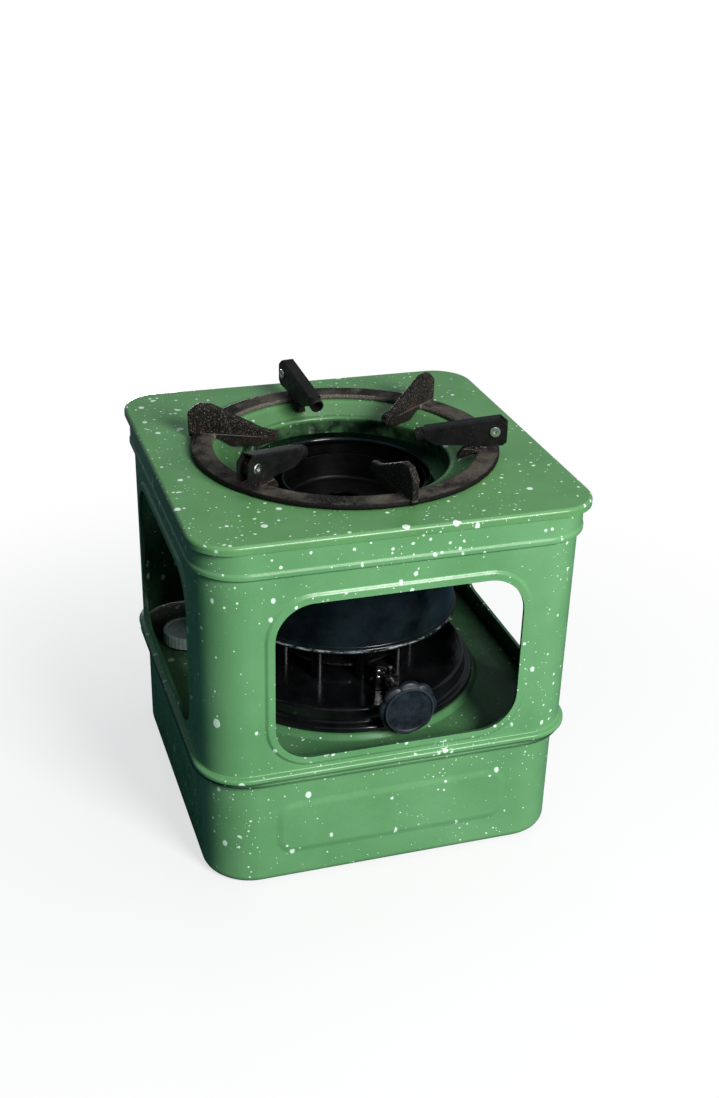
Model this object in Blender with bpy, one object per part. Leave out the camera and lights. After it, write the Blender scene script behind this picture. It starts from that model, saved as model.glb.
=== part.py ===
# Kerosene wick stove: square tank, windowed casing, round burner, lift-off top plate and trivet.
# Metres, +Z up. X runs along the front face, the front faces -Y, and the origin lies at the centre
# of the underside of the tank.

import math

import bmesh
import bpy
from mathutils import Matrix, Vector

# Common stock
SHEET = 0.0008
GAP = 0.0003
RUNNING = 0.0001
CUT_MARGIN = 0.004
WELD = 0.00001
SMOOTH_ANGLE = math.radians(35)

# Facet counts
CORNER_STEPS = 4
WINDOW_STEPS = 5
BEND_STEPS = 2
ROUND_STEPS = 32
HIDDEN_STEPS = 24
SMALL_STEPS = 16
TUBE_STEPS = 10
HOLE_STEPS = 8
RING_STEPS = 42
RIVET_STEPS = 10

# Tank
TANK_HALF = 0.1184
TANK_CORNER_SHARE = 0.27
TANK_CORNER = TANK_HALF * TANK_CORNER_SHARE
TANK_FOOT_RADIUS = 0.005
TANK_FLOOR_MARGIN = 0.0204
TANK_FLOOR_HALF = TANK_HALF - TANK_FLOOR_MARGIN
TANK_FLOOR_RISE = 0.002
FLANGE_OUT = 0.0038
SEAM_OUT = 0.0016
TANK_FLANGE_HALF = TANK_HALF + FLANGE_OUT
SEAM_HALF = TANK_FLANGE_HALF + SEAM_OUT
SEAM_LIP = 0.0032
SEAM_RADIUS = 0.0011
COVER_TOP = 0.0802
SEAT_RADIUS = 0.0922
SEAT_SLOPE = 0.0026
SEAT_TOP = 0.0835
WELL_RADIUS = 0.068
EMBOSS_MARGIN = 0.0404
EMBOSS_HALF = TANK_HALF - EMBOSS_MARGIN
EMBOSS_LOW = 0.0195
EMBOSS_HIGH = 0.0605
EMBOSS_CORNER = 0.012
EMBOSS_RISE = 0.0011
EMBOSS_SLOPE = 0.0022
LEAST_CORNER = 0.003

# Filler, which lies clear of the burner's seat and of the casing
NECK_RADIUS = 0.0126
NECK_WALL = 0.0014
NECK_FLANGE = 0.0152
NECK_FLANGE_THICK = 0.0009
NECK_TOP = 0.0878
NECK_DROP = 0.004
GASKET_THICK = 0.0013
GASKET_BORE = 0.0104
CAP_RADIUS = 0.0168
CAP_CLEARANCE = 0.0012
FILLER_INSET = 0.0229
FILLER_REACH = SEAT_RADIUS + SEAT_SLOPE + CAP_RADIUS + CAP_CLEARANCE
FILLER_X = -max(TANK_HALF - FILLER_INSET, FILLER_REACH / math.sqrt(2))
FILLER_Y = math.sqrt(max(FILLER_REACH**2 - FILLER_X**2, 0))
CAP_RIB = 0.0005
CAP_RIBS = 24
CAP_RIM_WIDTH = 0.0018
CAP_TOP_THICK = 0.0017
CAP_TOP_DISH = 0.0006
CAP_SKIRT_GAP = 0.0012
CAP_BEVEL = 0.0008

# Casing
CASING_OUT = 0.0021
CASING_HALF = TANK_HALF + CASING_OUT
CASING_CORNER_SHARE = 0.24
CASING_CORNER = CASING_HALF * CASING_CORNER_SHARE
CASING_TOP = 0.2424
FOOT_HEIGHT = 0.0036
FOOT_RADIUS = 0.0009
FOOT_FILLET = 0.0011
COLLAR_OUT = 0.0025
COLLAR_LOW = 0.2190
COLLAR_STEP = 0.0032
COLLAR_BEND = 0.0014
WINDOW_MARGIN = 0.0422
WINDOW_HALF = CASING_HALF - WINDOW_MARGIN
WINDOW_LOW = 0.0936
WINDOW_HIGH = 0.2005
WINDOW_CORNER = 0.024
WINDOW_BAND = 0.0066
WINDOW_BAND_RISE = 0.0013
WINDOW_BAND_SLOPE = 0.0014

# Top plate
PLATE_OUT = 0.0020
PLATE_HALF = CASING_HALF + COLLAR_OUT + PLATE_OUT
PLATE_CORNER_SHARE = 0.208
PLATE_CORNER = PLATE_HALF * PLATE_CORNER_SHARE
PLATE_TOP = 0.2435
PLATE_LIP = 0.0052
PLATE_BEND = 0.0018
DISH_RADIUS = 0.0835
DISH_LEDGE = 0.0705
DISH_DROP = 0.0061
MOUTH_RADIUS = 0.0672
MOUTH_BEND = 0.0016
MOUTH_LOW = 0.2262

# Burner base and head
BASE_RADIUS = 0.0908
BASE_RIM = 0.0038
BASE_WALL = 0.0852
BASE_TOP = 0.0983
BASE_BEND = 0.0017
TUBE_COUNT = 10
TUBE_CIRCLE = 0.0465
TUBE_RADIUS = 0.0044
TUBE_WALL = 0.0005
TUBE_LOW = 0.090
TUBE_HIGH = 0.1412
SLOT_LOW = 0.1035
SLOT_HIGH = 0.1235
SLOT_HALF_ANGLE = math.radians(19)
HEAD_FLOOR = 0.1362
HEAD_INNER = 0.0376
HEAD_OUTER = 0.0545
HEAD_WALL = 0.0068
HEAD_BEND = 0.0010

# Wicks and their lift
WICK_RADIUS = 0.0035
WICK_LOW = 0.0045
WICK_HIGH = 0.1395
CARRIER_LOW = 0.1045
CARRIER_THICK = 0.0014
CARRIER_OUTER = 0.0414
CARRIER_INNER = 0.031
FINGER_HALF = 0.0009
ARM_X = 0.0052
ARM_WIDTH = 0.0022
TAB_X = 0.0036
TAB_WIDTH = 0.0044
TAB_THICK = 0.0014
TAB_HEIGHT = 0.0105
PINION_TEETH = 8
GEAR_MODULE = 0.00125
ADDENDUM = 0.0011
DEDENDUM = 0.0015
TOOTH_SHARE = 0.38
TIP_SHARE = 0.46
ROOT_SHARE = 1.28
RACK_TOOTH_SHARE = 0.42
RACK_LEAN = math.radians(20)
RACK_LOW = 0.0846
RACK_TEETH = 8
RACK_BACK = 0.0032
RACK_OUTSIDE = -0.0664
RACK_INSIDE = -0.0602
RACK_SLOT_MARGIN = 0.0007
RIVET_SHANK = 0.0008
RIVET_HEAD = 0.0014
RIVET_HEAD_THICK = 0.0006
RACK_RIVET_X = 0.0051
RACK_RIVET_Z = (0.1082, 0.1130)

# Knob and shaft
SHAFT_X = 0.0132
SHAFT_Z = 0.1053
SHAFT_RADIUS = 0.0025
SHAFT_INSIDE = -0.0536
BRACKET_THICK = 0.0012
BRACKET_HALF = 0.0045
BRACKET_FOOT = 0.0085
BRACKET_FRONT_Y = -0.0706
BRACKET_REAR_Y = -0.0558
KNOB_INSET = 0.0143
KNOB_DEPTH = 0.0166
KNOB_PLAY = 0.0012
KNOB_FACE = min(KNOB_INSET - CASING_HALF, BRACKET_FRONT_Y - BRACKET_THICK - KNOB_PLAY - KNOB_DEPTH)
KNOB_HUB_BACK = KNOB_FACE + KNOB_DEPTH
SHAFT_INSET = 0.0037
SHAFT_OUTSIDE = KNOB_FACE + SHAFT_INSET
KNOB_FACE_RADIUS = 0.0162
KNOB_RIM = 0.0017
KNOB_DISH = 0.0009
KNOB_GROOVE_RADIUS = 0.0155
KNOB_GROOVE_DEPTH = 0.0018
KNOB_SKIRT_RADIUS = 0.0184
KNOB_SKIRT_FRONT = 0.0027
KNOB_SKIRT_BACK = 0.0066
KNOB_CONE_RADIUS = 0.0125
KNOB_CONE_DEPTH = 0.0090
KNOB_LOBE = 0.0007
KNOB_LOBES = 8
KNOB_HUB_RADIUS = 0.0066
KNOB_HUB_FRONT = 0.0102
KNOB_BEVEL = 0.0009
SCREW_RADIUS = 0.0014
SCREW_INSET = 0.0030
SCREW_Y = KNOB_HUB_BACK - SCREW_INSET
BRACKET_REAR_FOOT = 0.0062

# Drum and sleeves
DRUM_RADIUS = 0.075
DRUM_LOW = 0.1332
DRUM_BEAD = 0.0020
DRUM_BEAD_HEIGHT = 0.0042
DRUM_SHOULDER = 0.196
DRUM_MOUTH = 0.0560
DRUM_TOP = 0.227
DRUM_RIM = 0.0016
DRUM_NECK = 0.0035
SHOULDER_BEND = 0.014
OUTER_SLEEVE_RADIUS = 0.0529
OUTER_SLEEVE_TOP = 0.2235
INNER_SLEEVE_RADIUS = 0.0398
INNER_SLEEVE_TOP = 0.222
SLEEVE_SHEET = 0.0006
SLEEVE_LOW = 0.1373
INNER_RIM = 0.0010
VENT_ROWS = (0.153, 0.169)
VENT_COUNT = 8
VENT_RADIUS = 0.0030
CAP_PLATE_RADIUS = 0.0388
CAP_PLATE_FLOOR = 0.2045
CAP_PLATE_WALL = 0.0075
CAP_PLATE_HOLE = 0.0125
PIN_COUNT = 3
PIN_RADIUS = 0.0015
PIN_HEIGHT = 0.185
PIN_INSIDE = 0.0368
PIN_END_GAP = 0.0008
PIN_START = math.radians(30)

# Trivet
RING_OUTER = 0.0988
RING_INNER = 0.0843
RING_THICK = 0.0036
FIN_START = math.radians(37)
FIN_HALF = 0.0023
FIN_OUTER = 0.1012
FIN_TOP = 0.2674
FIN_SHOULDER = 0.0865
FIN_WAIST = 0.054
FIN_WAIST_TOP = 0.2530
FIN_INNER = 0.0435
FIN_INNER_TOP = 0.2515
FIN_INNER_LOW = 0.2450
FIN_LEDGE = 0.0062
TOE_OUTER = 0.0815
TOE_MIDDLE = 0.0765
TOE_MIDDLE_LOW = 0.2417
TOE_INNER = 0.0725
TOE_LOW = 0.2394
TOE_LIP_LOW = 0.0560
FIN_BURY = 0.0006
LUG_HALF = 0.0031
LUG_EYE = 0.0052
LUG_EYE_START = math.radians(-115)
LUG_EYE_END = math.radians(110)
LUG_SHOULDER = 0.0880
LUG_STEM_OUTER = 0.0905
LUG_STEM_INNER = 0.0775
LUG_STEM_HEIGHT = 0.0026
TONGUE_TOP = 0.2500
TONGUE_KNEE = 0.0740
TONGUE_KNEE_TOP = 0.2462
TONGUE_END = 0.0716
TONGUE_LOW = 0.2402
TONGUE_END_TOP = 0.2424

# Folding supports
PIVOT_RADIUS = 0.0951
PIVOT_Z = 0.2611
SUPPORT_START = math.radians(97)
SUPPORT_HALF = 0.0045
SUPPORT_SHEET = 0.0010
WEB_OUT = 0.0023
WEB_RISE = 0.0090
SUPPORT_INNER = 0.0440
SUPPORT_INNER_TOP = 0.2588
SUPPORT_INNER_LOW = 0.2493
SUPPORT_KNEE_IN = 0.0086
SUPPORT_KNEE_DROP = 0.0100
SUPPORT_HEEL_OUT = 0.0050
SUPPORT_HEEL_DROP = 0.0089
SUPPORT_END_OUT = 0.0076
SUPPORT_END_DROP = 0.0066
SUPPORT_END_RISE = 0.0046
SUPPORT_RIVET = 0.00175
SUPPORT_RIVET_HEAD = 0.0034
SUPPORT_RIVET_HEAD_THICK = 0.0010
SUPPORT_RIVET_BORE = 0.0011
SUPPORT_RIVET_DEPTH = 0.0016

GREEN = (0.20, 0.46, 0.25)
BLACK = (0.010, 0.011, 0.014)
IRON = (0.050, 0.040, 0.034)
STEEL = (0.45, 0.45, 0.46)
ALUMINIUM = (0.72, 0.72, 0.73)
BAKELITE = (0.022, 0.028, 0.045)
COTTON = (0.80, 0.77, 0.68)
FIBRE = (0.10, 0.06, 0.04)


def material(name, colour, roughness, metallic):
    made = bpy.data.materials.new(name)
    made.use_nodes = True
    shader = made.node_tree.nodes["Principled BSDF"]
    shader.inputs["Base Color"].default_value = (*colour, 1)
    shader.inputs["Roughness"].default_value = roughness
    shader.inputs["Metallic"].default_value = metallic
    return made


def finish(name, shape, look, origin=(0, 0, 0), turn=0.0):
    # The shape is given in the stove's frame. Its origin is moved to the given point.
    bmesh.ops.remove_doubles(shape, verts=shape.verts, dist=WELD)
    bmesh.ops.recalc_face_normals(shape, faces=shape.faces)
    bmesh.ops.translate(shape, verts=shape.verts, vec=-Vector(origin))
    mesh = bpy.data.meshes.new(name)
    shape.to_mesh(mesh)
    shape.free()
    mesh.shade_smooth()
    mesh.set_sharp_from_angle(angle=SMOOTH_ANGLE)
    made = bpy.data.objects.new(name, mesh)
    bpy.context.collection.objects.link(made)
    made.location = origin
    made.rotation_euler.z = turn
    if look is not None:
        mesh.materials.append(look)
    return made


def copy_of(source, name, turn, look):
    made = bpy.data.objects.new(name, source.data)
    bpy.context.collection.objects.link(made)
    made.location = Matrix.Rotation(turn, 3, "Z") @ source.location
    made.rotation_euler.z = source.rotation_euler.z + turn
    return made


def guide(made):
    made.hide_render = True
    made.display_type = "WIRE"
    return made


def combine(made, other, operation):
    step = made.modifiers.new(other.name, "BOOLEAN")
    step.operation = operation
    step.object = other
    step.solver = "EXACT"
    guide(other)


def fillet(points, radii, steps=BEND_STEPS):
    # Rounds each corner of an open path that has a radius.
    out = []
    for index, point in enumerate(points):
        radius = radii[index]
        if radius == 0 or index == 0 or index == len(points) - 1:
            out.append(Vector(point))
            continue
        here = Vector(point)
        back = (Vector(points[index - 1]) - here).normalized()
        ahead = (Vector(points[index + 1]) - here).normalized()
        half = back.angle(ahead) / 2
        centre = here + (back + ahead).normalized() * radius / math.sin(half)
        start = here + back * radius / math.tan(half) - centre
        sweep = (here + ahead * radius / math.tan(half) - centre)
        total = math.atan2(start.x * sweep.y - start.y * sweep.x, start.dot(sweep))
        for step in range(steps + 1):
            angle = total * step / steps
            out.append(centre + Matrix.Rotation(angle, 2) @ start)
    return out


def offset(path, distance):
    # Moves an open path sideways, to its right for a positive distance.
    out = []
    for index, point in enumerate(path):
        normals = []
        if index > 0:
            along = (point - path[index - 1]).normalized()
            normals.append(Vector((along.y, -along.x)))
        if index < len(path) - 1:
            along = (path[index + 1] - point).normalized()
            normals.append(Vector((along.y, -along.x)))
        middle = sum(normals, Vector((0, 0))).normalized()
        out.append(point + middle * distance / middle.dot(normals[0]))
    return out


def square_loop(half, corner, z, steps=CORNER_STEPS):
    corner = max(corner, LEAST_CORNER)
    loop = []
    for quarter in range(4):
        middle = math.pi / 4 + quarter * math.pi / 2
        centre_x = math.copysign(half - corner, math.cos(middle))
        centre_y = math.copysign(half - corner, math.sin(middle))
        for step in range(steps + 1):
            angle = quarter * math.pi / 2 + step * math.pi / 2 / steps
            x = centre_x + corner * math.cos(angle)
            y = centre_y + corner * math.sin(angle)
            loop.append((x, y, z))
    return loop


def round_loop(radius, z, steps=ROUND_STEPS, centre=(0, 0)):
    loop = []
    for step in range(steps):
        angle = 2 * math.pi * step / steps
        loop.append((centre[0] + radius * math.cos(angle), centre[1] + radius * math.sin(angle), z))
    return loop


def add_loop(shape, loop):
    return [shape.verts.new(point) for point in loop]


def band(shape, first, second):
    count = len(first)
    for index in range(count):
        after = (index + 1) % count
        shape.faces.new((first[index], first[after], second[after], second[index]))


def zip_band(shape, first, second):
    # Joins two rings with different numbers of points by triangles, across the shorter way.
    def angle_of(vert):
        return math.atan2(vert.co.y, vert.co.x) % (2 * math.pi)

    one = sorted(first, key=angle_of)
    two = sorted(second, key=angle_of)
    i = 0
    j = 0
    while i < len(one) or j < len(two):
        a = one[i % len(one)]
        b = two[j % len(two)]
        next_a = one[(i + 1) % len(one)]
        next_b = two[(j + 1) % len(two)]
        nearer = (next_a.co - b.co).length <= (next_b.co - a.co).length
        if j >= len(two) or (i < len(one) and nearer):
            shape.faces.new((a, next_a, b))
            i += 1
        else:
            shape.faces.new((a, next_b, b))
            j += 1


def turned(section, steps=ROUND_STEPS, centre=(0, 0)):
    # Spins a closed section of (radius, height) points round a vertical axis.
    shape = bmesh.new()
    verts = [shape.verts.new((centre[0] + point[0], centre[1], point[1])) for point in section]
    edges = []
    for index, vert in enumerate(verts):
        after = verts[(index + 1) % len(verts)]
        on_axis = section[index][0] == 0 and section[(index + 1) % len(section)][0] == 0
        if not on_axis:
            edges.append(shape.edges.new((vert, after)))
    bmesh.ops.spin(
        shape,
        geom=verts + edges,
        cent=(centre[0], centre[1], 0),
        axis=(0, 0, 1),
        angle=2 * math.pi,
        steps=steps,
        use_merge=True,
        use_duplicate=False,
    )
    bmesh.ops.remove_doubles(shape, verts=shape.verts, dist=WELD)
    return shape


def sheet_section(path, thickness):
    return list(path) + list(reversed(offset(path, thickness)))


def prism(outline, low, high, place):
    # Extrudes a flat outline. place turns (u, v, w) into a point of the stove.
    shape = bmesh.new()
    bottom = [shape.verts.new(place(u, v, low)) for u, v in outline]
    face = shape.faces.new(bottom)
    raised = bmesh.ops.extrude_face_region(shape, geom=[face])["geom"]
    verts = [item for item in raised if isinstance(item, bmesh.types.BMVert)]
    origin = Vector(place(0, 0, low))
    bmesh.ops.translate(shape, verts=verts, vec=Vector(place(0, 0, high)) - origin)
    return shape


def flat(u, v, w):
    return (u, v, w)


def radial(angle):
    # A vertical plane through the stove's axis: u outward, v up, w across.
    def place(u, v, w):
        x = u * math.cos(angle) - w * math.sin(angle)
        y = u * math.sin(angle) + w * math.cos(angle)
        return (x, y, v)

    return place


def frontal(u, v, w):
    # A plane that faces the front: u to the right, v up, w backward.
    return (u, w, v)


def box(low, high):
    shape = bmesh.new()
    made = bmesh.ops.create_cube(shape, size=1)
    size = Vector(high) - Vector(low)
    bmesh.ops.scale(shape, vec=size, verts=made["verts"])
    bmesh.ops.translate(shape, vec=Vector(low) + size / 2, verts=made["verts"])
    return shape


def drilled(radius, clearance, steps):
    # The radius of a faceted hole whose flats keep the clearance to a round piece.
    return (radius + clearance) / math.cos(math.pi / steps)


def arc(centre, radius, start, end, steps):
    points = []
    for step in range(steps + 1):
        angle = start + (end - start) * step / steps
        points.append((centre[0] + radius * math.cos(angle), centre[1] + radius * math.sin(angle)))
    return points


def rounded_rectangle(half, low, high, corner, steps):
    points = []
    centres = (
        (half - corner, high - corner),
        (corner - half, high - corner),
        (corner - half, low + corner),
        (half - corner, low + corner),
    )
    for quarter, centre in enumerate(centres):
        start = quarter * math.pi / 2
        points += arc(centre, corner, start, start + math.pi / 2, steps)
    return points


def rod(radius, start, end, steps=SMALL_STEPS):
    # A round bar between two points.
    shape = bmesh.new()
    along = Vector(end) - Vector(start)
    bmesh.ops.create_cone(
        shape,
        cap_ends=True,
        segments=steps,
        radius1=radius,
        radius2=radius,
        depth=along.length,
    )
    turn = Vector((0, 0, 1)).rotation_difference(along.normalized()).to_matrix().to_4x4()
    middle = Matrix.Translation((Vector(start) + Vector(end)) / 2)
    bmesh.ops.transform(shape, matrix=middle @ turn, verts=shape.verts)
    return shape


def joined(shapes):
    whole = bmesh.new()
    for shape in shapes:
        mesh = bpy.data.meshes.new("piece")
        shape.to_mesh(mesh)
        shape.free()
        whole.from_mesh(mesh)
        bpy.data.meshes.remove(mesh)
    return whole


def square_sheet(path, thickness, base_half, base_corner):
    # A bent sheet that runs round a rounded square, closed by a flat middle at the path's end.
    shape = bmesh.new()
    sides = []
    for side in (path, offset(path, thickness)):
        rings = []
        for point in side:
            rings.append(add_loop(shape, square_loop(point.x, base_corner + point.x - base_half, point.y)))
        for first, second in zip(rings, rings[1:]):
            band(shape, first, second)
        sides.append(rings)
    band(shape, sides[0][0], sides[1][0])
    return shape, sides


def square_to_round(square_path, round_path, thickness, base_half, base_corner):
    # A bent sheet whose outer edge is a rounded square and whose inner edge is a circle.
    shape = bmesh.new()
    whole = list(square_path) + list(round_path)
    split = len(square_path)
    sides = []
    for side in (whole, offset(whole, thickness)):
        rings = []
        for index, point in enumerate(side):
            if index < split:
                loop = square_loop(point.x, base_corner + point.x - base_half, point.y)
            else:
                loop = round_loop(point.x, point.y)
            rings.append(add_loop(shape, loop))
        for index in range(len(rings) - 1):
            if index == split - 1:
                zip_band(shape, rings[index], rings[index + 1])
            else:
                band(shape, rings[index], rings[index + 1])
        sides.append(rings)
    band(shape, sides[0][0], sides[1][0])
    band(shape, sides[0][-1], sides[1][-1])
    return shape


def side_turn(quarter):
    return Matrix.Rotation(quarter * math.pi / 2, 4, "Z")


def raised_panel(outer, inner, back, middle, front):
    # A low block with sloping edges on the front face: three outlines at three depths.
    shape = bmesh.new()
    rings = []
    for outline, depth in ((outer, back), (outer, middle), (inner, front)):
        rings.append([shape.verts.new((u, depth, v)) for u, v in outline])
    for first, second in zip(rings, rings[1:]):
        band(shape, first, second)
    shape.faces.new(rings[0])
    shape.faces.new(rings[-1])
    return shape


def build_tank(look):
    flange_low = COVER_TOP - SHEET - GAP - SHEET
    path = fillet(
        (
            (TANK_FLANGE_HALF, flange_low),
            (TANK_HALF, flange_low),
            (TANK_HALF, 0),
            (TANK_FLOOR_HALF, 0),
            (TANK_FLOOR_HALF - TANK_FLOOR_RISE, TANK_FLOOR_RISE),
        ),
        (0, SEAM_RADIUS, TANK_FOOT_RADIUS, 0, 0),
    )
    shape, sides = square_sheet(path, SHEET, TANK_HALF, TANK_CORNER)
    shape.faces.new(sides[0][-1])
    shape.faces.new(sides[1][-1])
    pan = finish("tank_pan", shape, look)
    outer = rounded_rectangle(EMBOSS_HALF, EMBOSS_LOW, EMBOSS_HIGH, EMBOSS_CORNER, BEND_STEPS)
    inner = rounded_rectangle(
        EMBOSS_HALF - EMBOSS_SLOPE,
        EMBOSS_LOW + EMBOSS_SLOPE,
        EMBOSS_HIGH - EMBOSS_SLOPE,
        EMBOSS_CORNER - EMBOSS_SLOPE,
        BEND_STEPS,
    )
    for quarter in range(4):
        panel = raised_panel(
            outer,
            inner,
            SHEET / 2 - TANK_HALF,
            -TANK_HALF - RUNNING,
            -TANK_HALF - EMBOSS_RISE,
        )
        bmesh.ops.transform(panel, matrix=side_turn(quarter), verts=panel.verts)
        combine(pan, finish("tank_emboss_%d" % quarter, panel, None), "UNION")

    lip_low = flange_low - GAP - SHEET
    hem = fillet(
        (
            (SEAM_HALF - SEAM_LIP, lip_low),
            (SEAM_HALF, lip_low),
            (SEAM_HALF, COVER_TOP),
            (TANK_HALF, COVER_TOP),
        ),
        (0, SEAM_RADIUS, SEAM_RADIUS, 0),
        1,
    )
    middle = [
        Vector((SEAT_RADIUS + SEAT_SLOPE, COVER_TOP)),
        Vector((SEAT_RADIUS, SEAT_TOP)),
        Vector((WELL_RADIUS, SEAT_TOP)),
    ]
    shape = square_to_round(hem, middle, -SHEET, TANK_HALF, TANK_CORNER)
    cover = finish("tank_cover", shape, look)
    drill = rod(
        drilled(NECK_RADIUS, GAP, SMALL_STEPS),
        (FILLER_X, FILLER_Y, COVER_TOP - CUT_MARGIN),
        (FILLER_X, FILLER_Y, COVER_TOP + CUT_MARGIN),
    )
    combine(cover, finish("filler_drill", drill, None), "DIFFERENCE")


def build_filler(metal, cap_look, fibre):
    centre = (FILLER_X, FILLER_Y)
    flange_low = COVER_TOP + GAP
    section = (
        (NECK_RADIUS - NECK_WALL, COVER_TOP - NECK_DROP),
        (NECK_RADIUS, COVER_TOP - NECK_DROP),
        (NECK_RADIUS, flange_low),
        (NECK_FLANGE, flange_low),
        (NECK_FLANGE, flange_low + NECK_FLANGE_THICK),
        (NECK_RADIUS, flange_low + NECK_FLANGE_THICK),
        (NECK_RADIUS, NECK_TOP),
        (NECK_RADIUS - NECK_WALL, NECK_TOP),
    )
    finish("filler_neck", turned(section, SMALL_STEPS, centre), metal)
    gasket_low = NECK_TOP + GAP
    gasket_top = gasket_low + GASKET_THICK
    section = (
        (GASKET_BORE, gasket_low),
        (NECK_RADIUS, gasket_low),
        (NECK_RADIUS, gasket_top),
        (GASKET_BORE, gasket_top),
    )
    origin = (FILLER_X, FILLER_Y, gasket_low)
    finish("filler_gasket", turned(section, SMALL_STEPS, centre), fibre, origin)

    inside = gasket_top + GAP
    top = inside + CAP_TOP_THICK
    skirt_low = flange_low + NECK_FLANGE_THICK + CAP_SKIRT_GAP
    bore = NECK_RADIUS + GAP
    dished = CAP_RADIUS - CAP_RIM_WIDTH
    shape = bmesh.new()
    count = 2 * CAP_RIBS
    rings = []
    for radius, rib, z in (
        (bore, 0, inside),
        (bore, 0, skirt_low),
        (CAP_RADIUS, CAP_RIB, skirt_low),
        (CAP_RADIUS, CAP_RIB, top - CAP_BEVEL),
        (CAP_RADIUS - CAP_BEVEL, 0, top),
        (dished, 0, top),
        (dished - CAP_TOP_DISH, 0, top - CAP_TOP_DISH),
    ):
        ring = []
        for step in range(count):
            angle = 2 * math.pi * step / count
            reach = radius - rib * (step % 2)
            x = FILLER_X + reach * math.cos(angle)
            y = FILLER_Y + reach * math.sin(angle)
            ring.append(shape.verts.new((x, y, z)))
        rings.append(ring)
    for first, second in zip(rings, rings[1:]):
        band(shape, first, second)
    shape.faces.new(rings[0])
    shape.faces.new(rings[-1])
    finish("filler_cap", shape, cap_look, (FILLER_X, FILLER_Y, inside))


def build_casing(look):
    low = COVER_TOP + GAP
    foot_top = low + FOOT_HEIGHT
    foot_half = SEAM_HALF
    inner_half = CASING_HALF - SHEET
    collar_half = CASING_HALF + COLLAR_OUT
    outside = fillet(
        (
            (inner_half, low),
            (foot_half, low),
            (foot_half, foot_top),
            (CASING_HALF, foot_top + FOOT_FILLET),
            (CASING_HALF, COLLAR_LOW),
            (collar_half, COLLAR_LOW + COLLAR_STEP),
            (collar_half, CASING_TOP),
        ),
        (0, FOOT_RADIUS, FOOT_RADIUS, 0, COLLAR_BEND, COLLAR_BEND, 0),
        1,
    )
    straight = fillet(
        (
            (CASING_HALF, foot_top),
            (CASING_HALF, COLLAR_LOW),
            (collar_half, COLLAR_LOW + COLLAR_STEP),
            (collar_half, CASING_TOP),
        ),
        (0, COLLAR_BEND, COLLAR_BEND, 0),
        1,
    )
    inside = offset(straight, -SHEET)[1:]
    section = outside + list(reversed(inside))
    shape = bmesh.new()
    rings = []
    for point in section:
        rings.append(add_loop(shape, square_loop(point.x, CASING_CORNER + point.x - CASING_HALF, point.y)))
    for index in range(len(rings)):
        band(shape, rings[index], rings[(index + 1) % len(rings)])
    casing = finish("casing", shape, look)

    hole = rounded_rectangle(WINDOW_HALF, WINDOW_LOW, WINDOW_HIGH, WINDOW_CORNER, WINDOW_STEPS)
    outer = rounded_rectangle(
        WINDOW_HALF + WINDOW_BAND,
        WINDOW_LOW - WINDOW_BAND,
        WINDOW_HIGH + WINDOW_BAND,
        WINDOW_CORNER + WINDOW_BAND,
        WINDOW_STEPS,
    )
    inner = rounded_rectangle(
        WINDOW_HALF + WINDOW_BAND - WINDOW_BAND_SLOPE,
        WINDOW_LOW - WINDOW_BAND + WINDOW_BAND_SLOPE,
        WINDOW_HIGH + WINDOW_BAND - WINDOW_BAND_SLOPE,
        WINDOW_CORNER + WINDOW_BAND - WINDOW_BAND_SLOPE,
        WINDOW_STEPS,
    )
    for quarter in (0, 1, 3):
        rim = raised_panel(
            outer,
            inner,
            SHEET / 2 - CASING_HALF,
            -CASING_HALF - RUNNING,
            -CASING_HALF - WINDOW_BAND_RISE,
        )
        bmesh.ops.transform(rim, matrix=side_turn(quarter), verts=rim.verts)
        combine(casing, finish("window_rim_%d" % quarter, rim, None), "UNION")
    # Windows in the front and both sides. The back wall is closed.
    reach = CASING_HALF + CUT_MARGIN
    cutter = prism(hole, -reach, 0, frontal)
    combine(casing, finish("front_window_cutter", cutter, None), "DIFFERENCE")
    cutter = prism(hole, -reach, reach, frontal)
    bmesh.ops.transform(cutter, matrix=side_turn(1), verts=cutter.verts)
    combine(casing, finish("side_window_cutter", cutter, None), "DIFFERENCE")


def build_top_plate(look):
    lip = fillet(
        (
            (PLATE_HALF, PLATE_TOP - PLATE_LIP),
            (PLATE_HALF, PLATE_TOP),
            (CASING_HALF, PLATE_TOP),
        ),
        (0, PLATE_BEND, 0),
    )
    dish = fillet(
        (
            (DISH_RADIUS, PLATE_TOP),
            (DISH_LEDGE, PLATE_TOP - DISH_DROP),
            (MOUTH_RADIUS, PLATE_TOP - DISH_DROP),
            (MOUTH_RADIUS, MOUTH_LOW),
        ),
        (0, DISH_DROP, MOUTH_BEND, 0),
    )
    shape = square_to_round(lip, dish, -SHEET, PLATE_HALF, PLATE_CORNER)
    finish("top_plate", shape, look)


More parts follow.
